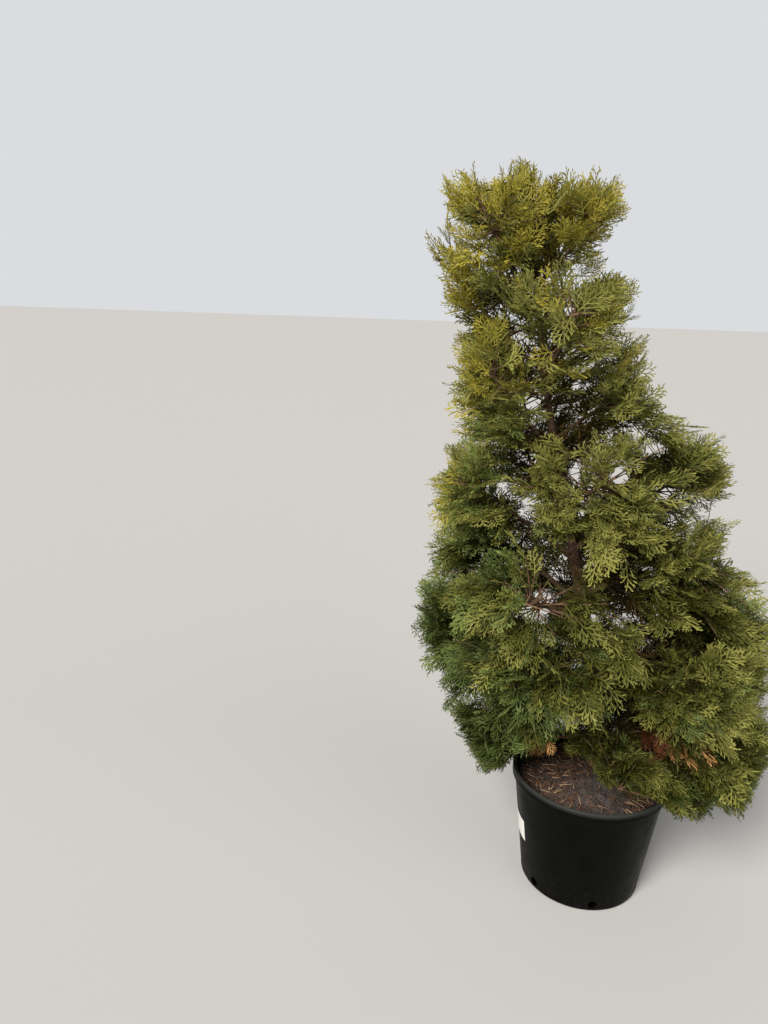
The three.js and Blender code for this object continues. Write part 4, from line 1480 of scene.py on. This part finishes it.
# %% Trimming
EDGE_SLACK = 20
CROSSING_KEPT = 0.12
EDGE_LEAST = -14
TUB_RADIUS = 138
TUB_TOP = 219
BARK_CLEAR = 1
TRIM = 0.86
TRIMS = 9
SAG = 0.10
frond_of = np.array([spray[0] for spray in sprays])
share_of = np.array([spray[1] for spray in sprays])
root = np.array([spray[2] for spray in sprays])
along = np.array([spray[3] for spray in sprays])
across = np.array([spray[4] for spray in sprays])
length = np.array([spray[5] for spray in sprays])
chance = np.array([spray[6] for spray in sprays])
face = np.cross(along, across)
low_share = 1 - np.clip((root[:, 2] - CROWN_FOOT) / CROWN_SPAN, 0, 1)
bend = -0.05 + 0.30 * ((chance * 31) % 1)
cup = 0.22 * ((chance * 57) % 1)
TRIAL_SHARES = [(0.82, 0.26), (0.55, 0.36), (0.3, 0.3)]
TRIAL_POINTS = [(1.0, 0.0)]
for u_share, v_share in TRIAL_SHARES:
    TRIAL_POINTS += [(u_share, v_share), (u_share, -v_share)]
SEEN_HEM = [
    {"x": -218, "z": 240},
    {"x": -178, "z": 181},
    {"x": -145, "z": 184},
    {"x": -134, "z": 220},
    {"x": -62, "z": 220},
    {"x": -40, "z": 230},
    {"x": 4, "z": 219},
    {"x": 22, "z": 176},
    {"x": 44, "z": 160},
    {"x": 52, "z": 160},
    {"x": 112, "z": 143},
    {"x": 175, "z": 102},
    {"x": 220, "z": 92},
    {"x": 238, "z": 140},
    {"x": 261, "z": 120},
    {"x": 294, "z": 108},
    {"x": 317, "z": 215},
]
SEEN_HEM_SLACK = 9


def trial_point(u_share, v_share):
    """Where a point of each spray comes to lie, bent, cupped and sagging."""
    u, v = u_share * length, v_share * length
    w = -bend * u * u / length - cup * v * v / length
    point = root + u[:, None] * along + v[:, None] * across + w[:, None] * face
    point[:, 2] -= SAG * low_share * u_share**2 * length
    return point


def clear_of_tub(points):
    return (np.hypot(points[:, 0], points[:, 1]) > TUB_RADIUS) | (points[:, 2] > TUB_TOP)


def clear_of_trunk(points):
    return from_trunk(points)[0] > trunk_radius(points[:, 2]) + BARK_CLEAR


def above_seen_hem(points):
    """Which points are above the crown's lower edge as the photograph shows it, or behind the trunk."""
    x, z = seen_at(points)
    hem = np.interp(x, [row["x"] for row in SEEN_HEM], [row["z"] for row in SEEN_HEM])
    return (z > hem + SEEN_HEM_SLACK * (chance * 17 % 1)) | (points[:, 1] > 0)


def fits(slack):
    good = np.ones(len(root), bool)
    for u_share, v_share in TRIAL_POINTS:
        points = trial_point(u_share, v_share)
        good &= inside_outline(points, slack) & clear_of_tub(points) & above_seen_hem(points)
    return good


between, _ = tuft_of(trial_point(0.85, 0))
edge_slack = EDGE_LEAST + (EDGE_SLACK - EDGE_LEAST) * (chance * 13 % 1)
edge_slack += TUFT_BULGE - (TUFT_BULGE + TUFT_HOLLOW) * between
for _ in range(TRIMS):
    length = np.where(fits(edge_slack), length, length * TRIM)
kept = fits(edge_slack) & (length > 0.8 * SPRAY_SHORTEST)
kept &= clear_of_trunk(trial_point(0.5, 0)) & clear_of_trunk(trial_point(1, 0))
crossing_from = np.full(len(fronds), 2.0)
for number, path in enumerate(fronds):
    blocked = ~clear_of_openings(path[2:])
    if blocked.any() and growth.random() > CROSSING_KEPT:
        crossing_from[number] = (2 + np.argmax(blocked)) / (len(path) - 1)
kept &= share_of < crossing_from[frond_of]
frond_tone = (growth.random(len(fronds)) - 0.5)[frond_of]
leafy_share = np.zeros(len(fronds))
np.maximum.at(leafy_share, frond_of[kept], share_of[kept] + 0.06)
root, along, across, face = root[kept], along[kept], across[kept], face[kept]
length, chance, bend, cup, low_share = length[kept], chance[kept], bend[kept], cup[kept], low_share[kept]
frond_tone = frond_tone[kept]
middle = root + along * (0.6 * length)[:, None]
print("sprays kept:", len(root))

# %% [markdown]
# ## Tints by spray
# The sprays are yellow at the top and here and there on the outer left side, a cooler green low on the left,
# and moss green elsewhere. The yellow is partly painted sunlight: it grows on the upper side of each tuft
# and on the outer left side, where the key lamp shines. In each of these three series a spray gets a lighter
# or darker copy of its tint, which is painted light and painted shade: lighter the more light it gets, high
# up, on the outside and on the upper side of its tuft, and darker in the hollows between tufts. Sprays next
# to the limbs are brown, and a few low ones are dry or dead. The tints are dealt out spray by spray, and each
# tint is its own joined mesh with its own base colour. The young branchlets of a spray go to the next lighter
# tint.

# %% Dealing out the tints
TINTS = {
    "cool_deep": {"first": (0.015, 0.021, 0.0025), "second": (0.028, 0.038, 0.006)},
    "cool_green": {"first": (0.041, 0.056, 0.012), "second": (0.062, 0.082, 0.020)},
    "cool_fresh": {"first": (0.075, 0.101, 0.027), "second": (0.103, 0.135, 0.042)},
    "cool_light": {"first": (0.128, 0.170, 0.042), "second": (0.170, 0.216, 0.062)},
    "moss_deep": {"first": (0.020, 0.020, 0.002), "second": (0.036, 0.036, 0.005)},
    "moss_green": {"first": (0.055, 0.058, 0.009), "second": (0.080, 0.083, 0.016)},
    "moss_fresh": {"first": (0.098, 0.104, 0.021), "second": (0.137, 0.143, 0.036)},
    "moss_light": {"first": (0.178, 0.181, 0.040), "second": (0.237, 0.237, 0.064)},
    "gold_deep": {"first": (0.044, 0.038, 0.003), "second": (0.068, 0.060, 0.005)},
    "gold_green": {"first": (0.104, 0.096, 0.007), "second": (0.145, 0.132, 0.013)},
    "gold_fresh": {"first": (0.175, 0.160, 0.016), "second": (0.232, 0.209, 0.027)},
    "gold_light": {"first": (0.256, 0.229, 0.030), "second": (0.338, 0.296, 0.050)},
    "brown": {"first": (0.040, 0.025, 0.006), "second": (0.080, 0.052, 0.014)},
    "dry": {"first": (0.270, 0.135, 0.045), "second": (0.400, 0.220, 0.090)},
    "dead": {"first": (0.050, 0.016, 0.007), "second": (0.110, 0.038, 0.016)},
}
SERIES = ["cool", "moss", "gold"]
COOL_FROM = 0.52
GOLD_FROM = 0.86
# The four levels of each series, deep to light, are shaded and lit copies of one tint: painted shade and
# painted light.
LEVEL_NAMES = ["deep", "green", "fresh", "light"]
LEVELS = [0.22, 0.48, 0.76]
# Painted light by height and side, on the outer sprays and on a tuft's upper side, and painted shade in the
# hollows.
LIGHT_HEIGHTS = [300, 580, 750, 900, 1050, 1150]
LIGHT_LEFT = [-0.12, 0.32, 1.10, 1.14, 0.94, 1.20]
LIGHT_RIGHT = [0.28, 0.50, 0.50, 0.84, 0.86, 1.18]
OUTER_LIGHT = 1.3
CHANCE_LIGHT = 0.22
FROND_LIGHT = 0.3
TUFT_LIGHT = 0.22
TUFT_HALF = 45
HOLLOW_DARK = 0.26
# Painted sunlight: more gold on a tuft's upper side and on the outer left side, where the key lamp shines.
TIP_GOLD = 0.16
SIDE_LIGHT = 0.24
LEFT_GOLD = 0.36
LEFT_GOLD_FROM = 480
LEFT_GOLD_OVER = 160
FROND_HUE = 0.4
CHANCE_HUE = 0.45
LOW_COOL = 0.35
RIGHT_COOL = 0.14
LEFT_COOL = 0.7
DRY_SPOTS = [
    {"x": -89, "z": 232, "radius": 24, "tint": "dry"},
    {"x": 152, "z": 243, "radius": 12, "tint": "dry"},
    {"x": 194, "z": 248, "radius": 11, "tint": "dry"},
    {"x": 107, "z": 256, "radius": 32, "tint": "dead"},
]
INNER = 0.5
SCREENED = 0.72
BROWN_SHARE = 0.7
radius, angle = from_trunk(middle)
outness = radius / outline_reach(angle, middle[:, 2])
top_share = np.clip((middle[:, 2] - 960) / 240, 0, 1)
outness = np.maximum(outness, 0.98 * top_share)
height_share = np.clip((middle[:, 2] - CROWN_FOOT) / CROWN_SPAN, 0, 1)
rightness = 0.5 + 0.5 * np.cos(angle)
between, above = tuft_of(middle)
left_light = np.interp(middle[:, 2], LIGHT_HEIGHTS, LIGHT_LEFT)
# sunny chooses a spray's level: painted light and painted shade.
sunny = left_light + (np.interp(middle[:, 2], LIGHT_HEIGHTS, LIGHT_RIGHT) - left_light) * rightness
sunny += OUTER_LIGHT * (outness - 0.85) + CHANCE_LIGHT * (chance - 0.5) + FROND_LIGHT * frond_tone
upper_side = np.clip(above / TUFT_HALF, -1, 1)
# Painted light on a tuft's upper side, painted shade in the hollows between tufts.
sunny += TUFT_LIGHT * upper_side - HOLLOW_DARK * (between - 0.4)
outer = np.clip((outness - 0.8) / 0.2, 0, 1)
sunny += SIDE_LIGHT * outer * np.cos(angle) ** 2
hue_tone = FROND_HUE * frond_tone + CHANCE_HUE * ((chance * 71) % 1 - 0.5)
leftness = np.clip(-np.cos(angle), 0, 1)
rightward = np.clip(np.cos(angle), 0, 1)
high_enough = np.clip((middle[:, 2] - LEFT_GOLD_FROM) / LEFT_GOLD_OVER, 0, 1)
# Painted sunlight on the outer left side, above the low boughs.
left_gold = LEFT_GOLD * outer * leftness**2 * high_enough
coolness = (LOW_COOL + RIGHT_COOL * rightward) * (1 - height_share)
coolness += LEFT_COOL * leftness * (1.05 - height_share)
# Gold rises with height and by chance, and on a tuft's upper side as painted sunlight.
goldness = height_share + 0.5 * hue_tone + TIP_GOLD * upper_side
is_cool = coolness - left_gold - hue_tone > COOL_FROM
series = np.where(is_cool, 0, np.where(goldness + left_gold > GOLD_FROM, 2, 1))
level = np.digitize(sunny, LEVELS)
tint = np.array([f"{SERIES[s]}_{LEVEL_NAMES[k]}" for s, k in zip(series, level)], dtype=object)
young_level = np.minimum(level + 1, len(LEVELS))
young_tint = np.array([f"{SERIES[s]}_{LEVEL_NAMES[k]}" for s, k in zip(series, young_level)], dtype=object)
seen_x, seen_z = seen_at(middle)
special = [("brown", (outness < INNER) & (chance < BROWN_SHARE))]
for spot in DRY_SPOTS:
    close = np.hypot(seen_x - spot["x"], seen_z - spot["z"]) < spot["radius"]
    special.append((spot["tint"], close & (middle[:, 1] < 0)))
for name, chosen in special:
    tint[chosen] = name
    young_tint[chosen] = name
print({name: int((tint == name).sum()) for name in TINTS})


# %% Sprays as joined meshes
PIECE_MOST = 195000
SHORT_UNDER = 54
RIB_STATIONS = np.linspace(0, 1, 12)
OPENING_NEAR = 50
OPENING_RAGGED = [0.45, 1.15]
near_opening = np.zeros(len(root), bool)
for opening in OPENINGS:
    near_opening |= np.hypot(seen_x - opening["x"], seen_z - opening["z"]) < OPENING_NEAR + opening["wide"]


def placed_spray(i):
    """A spray's older and young branchlets: a template scaled, bent, cupped, sagged and put in its place."""
    kind = "short" if length[i] < SHORT_UNDER else "long"
    if outness[i] < SCREENED:
        kind = "inner" if outness[i] < INNER else "middle"
    natural = SPRAY_KINDS[kind]["natural"]
    choices = SPRAY_KINDS[kind]["shapes"]
    shape = choices[int(chance[i] * 997) % len(choices)]
    scale = length[i] / natural
    mirror = 1 if int(chance[i] * 7919) % 2 else -1
    ragged = OPENING_RAGGED[0] + (OPENING_RAGGED[1] - OPENING_RAGGED[0]) * (chance[i] * 113 % 1)
    stations = RIB_STATIONS[:, None]
    rib = root[i] + length[i] * (along[i] * stations - face[i] * bend[i] * stations**2)
    rib_clear = clear_of_openings(rib, ragged)
    rib_end = length[i] * (2.0 if rib_clear.all() else RIB_STATIONS[np.argmin(rib_clear)])
    made = []
    for points, faces in shape:
        u = points[:, 0] * scale
        v = points[:, 1] * scale * mirror
        w = points[:, 2] * scale - (bend[i] * u * u + cup[i] * v * v) / length[i]
        placed = root[i] + u[:, None] * along[i] + v[:, None] * across[i] + w[:, None] * face[i]
        placed[:, 2] -= SAG * low_share[i] * u * u / length[i]
        if near_opening[i]:
            shown = (clear_of_openings(placed, ragged) & (u <= rib_end))[faces].all(axis=1)
            faces = faces[shown]
        made.append((placed, faces))
    return made


def chunks_under(blocks, limit):
    """Splits a list of blocks where a joined mesh would pass the limit."""
    chunks, chunk, count = [], [], 0
    for block in blocks:
        if count + len(block[1]) > limit:
            chunks.append(chunk)
            chunk, count = [], 0
        chunk.append(block)
        count += len(block[1])
    return chunks + [chunk]


all_masses = [f"foliage_{mass['name']}" for mass in plan]
blocks_of = {name: [] for name in TINTS}
for i in range(len(root)):
    old, young = placed_spray(i)
    blocks_of[tint[i]].append(old)
    blocks_of[young_tint[i]].append(young)
total_faces = 0
for name, colours in TINTS.items():
    if not blocks_of[name]:
        continue
    tints = (colours["first"], colours["second"])
    material = finish(f"leaf_{name}", *tints, 42, (0.5, 0.7), 650, 0.3, shine=0.11)
    slot_name = "foliage_sunny" if name.startswith("gold") else "foliage_shaded"
    for number, chunk in enumerate(chunks_under(blocks_of[name], PIECE_MOST)):
        points, faces = stacked(chunk)
        joined_piece(f"sprays_{name}_{number + 1}", points, faces, material, slot_name, all_masses)
        total_faces += len(faces)
print("spray faces in all:", total_faces)

# %% [markdown]
# ## Twigs
# Between the boughs and the green, thin brown twigs show. Each is a three-sided stick of a few lengths along
# the frond's own path, thick at the stem and thin where the sprays take over. The stems of the masses are
# made the same way, with six sides. They are all joined in one mesh.


# %% Twigs and stems
def tube(path, radii, sides):
    """A thin tube with this many sides along a path of points, closed by a point at its tip."""
    path = np.array(path)
    ahead = units(np.gradient(path, axis=0))
    guide = np.array([1.0, 0, 0]) if abs(ahead[0][2]) > 0.8 else UP
    rings = []
    for point, direction, radius in zip(path, ahead, radii):
        guide = unit(guide - direction * (guide @ direction))
        third = np.cross(direction, guide)
        for k in range(sides):
            turn = 2 * math.pi * k / sides
            rings.append(point + radius * (guide * math.cos(turn) + third * math.sin(turn)))
    faces = []
    last = (len(path) - 1) * sides
    for ring in range(len(path) - 1):
        for k in range(sides):
            a, b = ring * sides + k, ring * sides + (k + 1) % sides
            faces += [[a, b, b + sides], [a, b + sides, a + sides]]
    rings.append(path[-1] + ahead[-1] * radii[-1])
    for k in range(sides):
        faces.append([last + k, last + (k + 1) % sides, len(rings) - 1])
    return np.array(rings), np.array(faces)


STEM_RADIUS = 2.4
TWIG_RADIUS = 1.7
TWIG_TIP_RADIUS = 0.7
twig_brown = finish("twig_bark", (0.060, 0.032, 0.018), (0.170, 0.105, 0.060), 60, (0.6, 0.85), 900, 0.2, 0.2)
tubes = []
for path, share in zip(fronds, np.minimum(0.94, leafy_share)):
    if share > 0:
        stations = np.linspace(0, share, 6) * (len(path) - 1)
        path = np.stack([np.interp(stations, np.arange(len(path)), path[:, i]) for i in range(3)], axis=1)
        tubes.append(tube(path, np.linspace(TWIG_RADIUS, TWIG_TIP_RADIUS, len(path)), 3))
for begin, end in stems:
    path = begin + (end - begin) * np.linspace(0, 1, 5)[:, None]
    tubes.append(tube(path, np.linspace(STEM_RADIUS, TWIG_RADIUS, 5), 6))
joined_piece("twigs", *stacked(tubes), twig_brown, "bark", all_masses)

# %% [markdown]
# ## The finished tree
# Last, the boxes of the solids and of the dressed tree are written down, to be compared.

# %% Sizes and finish
look_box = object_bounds()
grown = [round((look_box[1][i] - cad_box[1][i]) * 1000, 1) for i in range(3)]
sunk = [round((cad_box[0][i] - look_box[0][i]) * 1000, 1) for i in range(3)]
print("beyond the solids' box, mm: high side", grown, "low side", sunk)
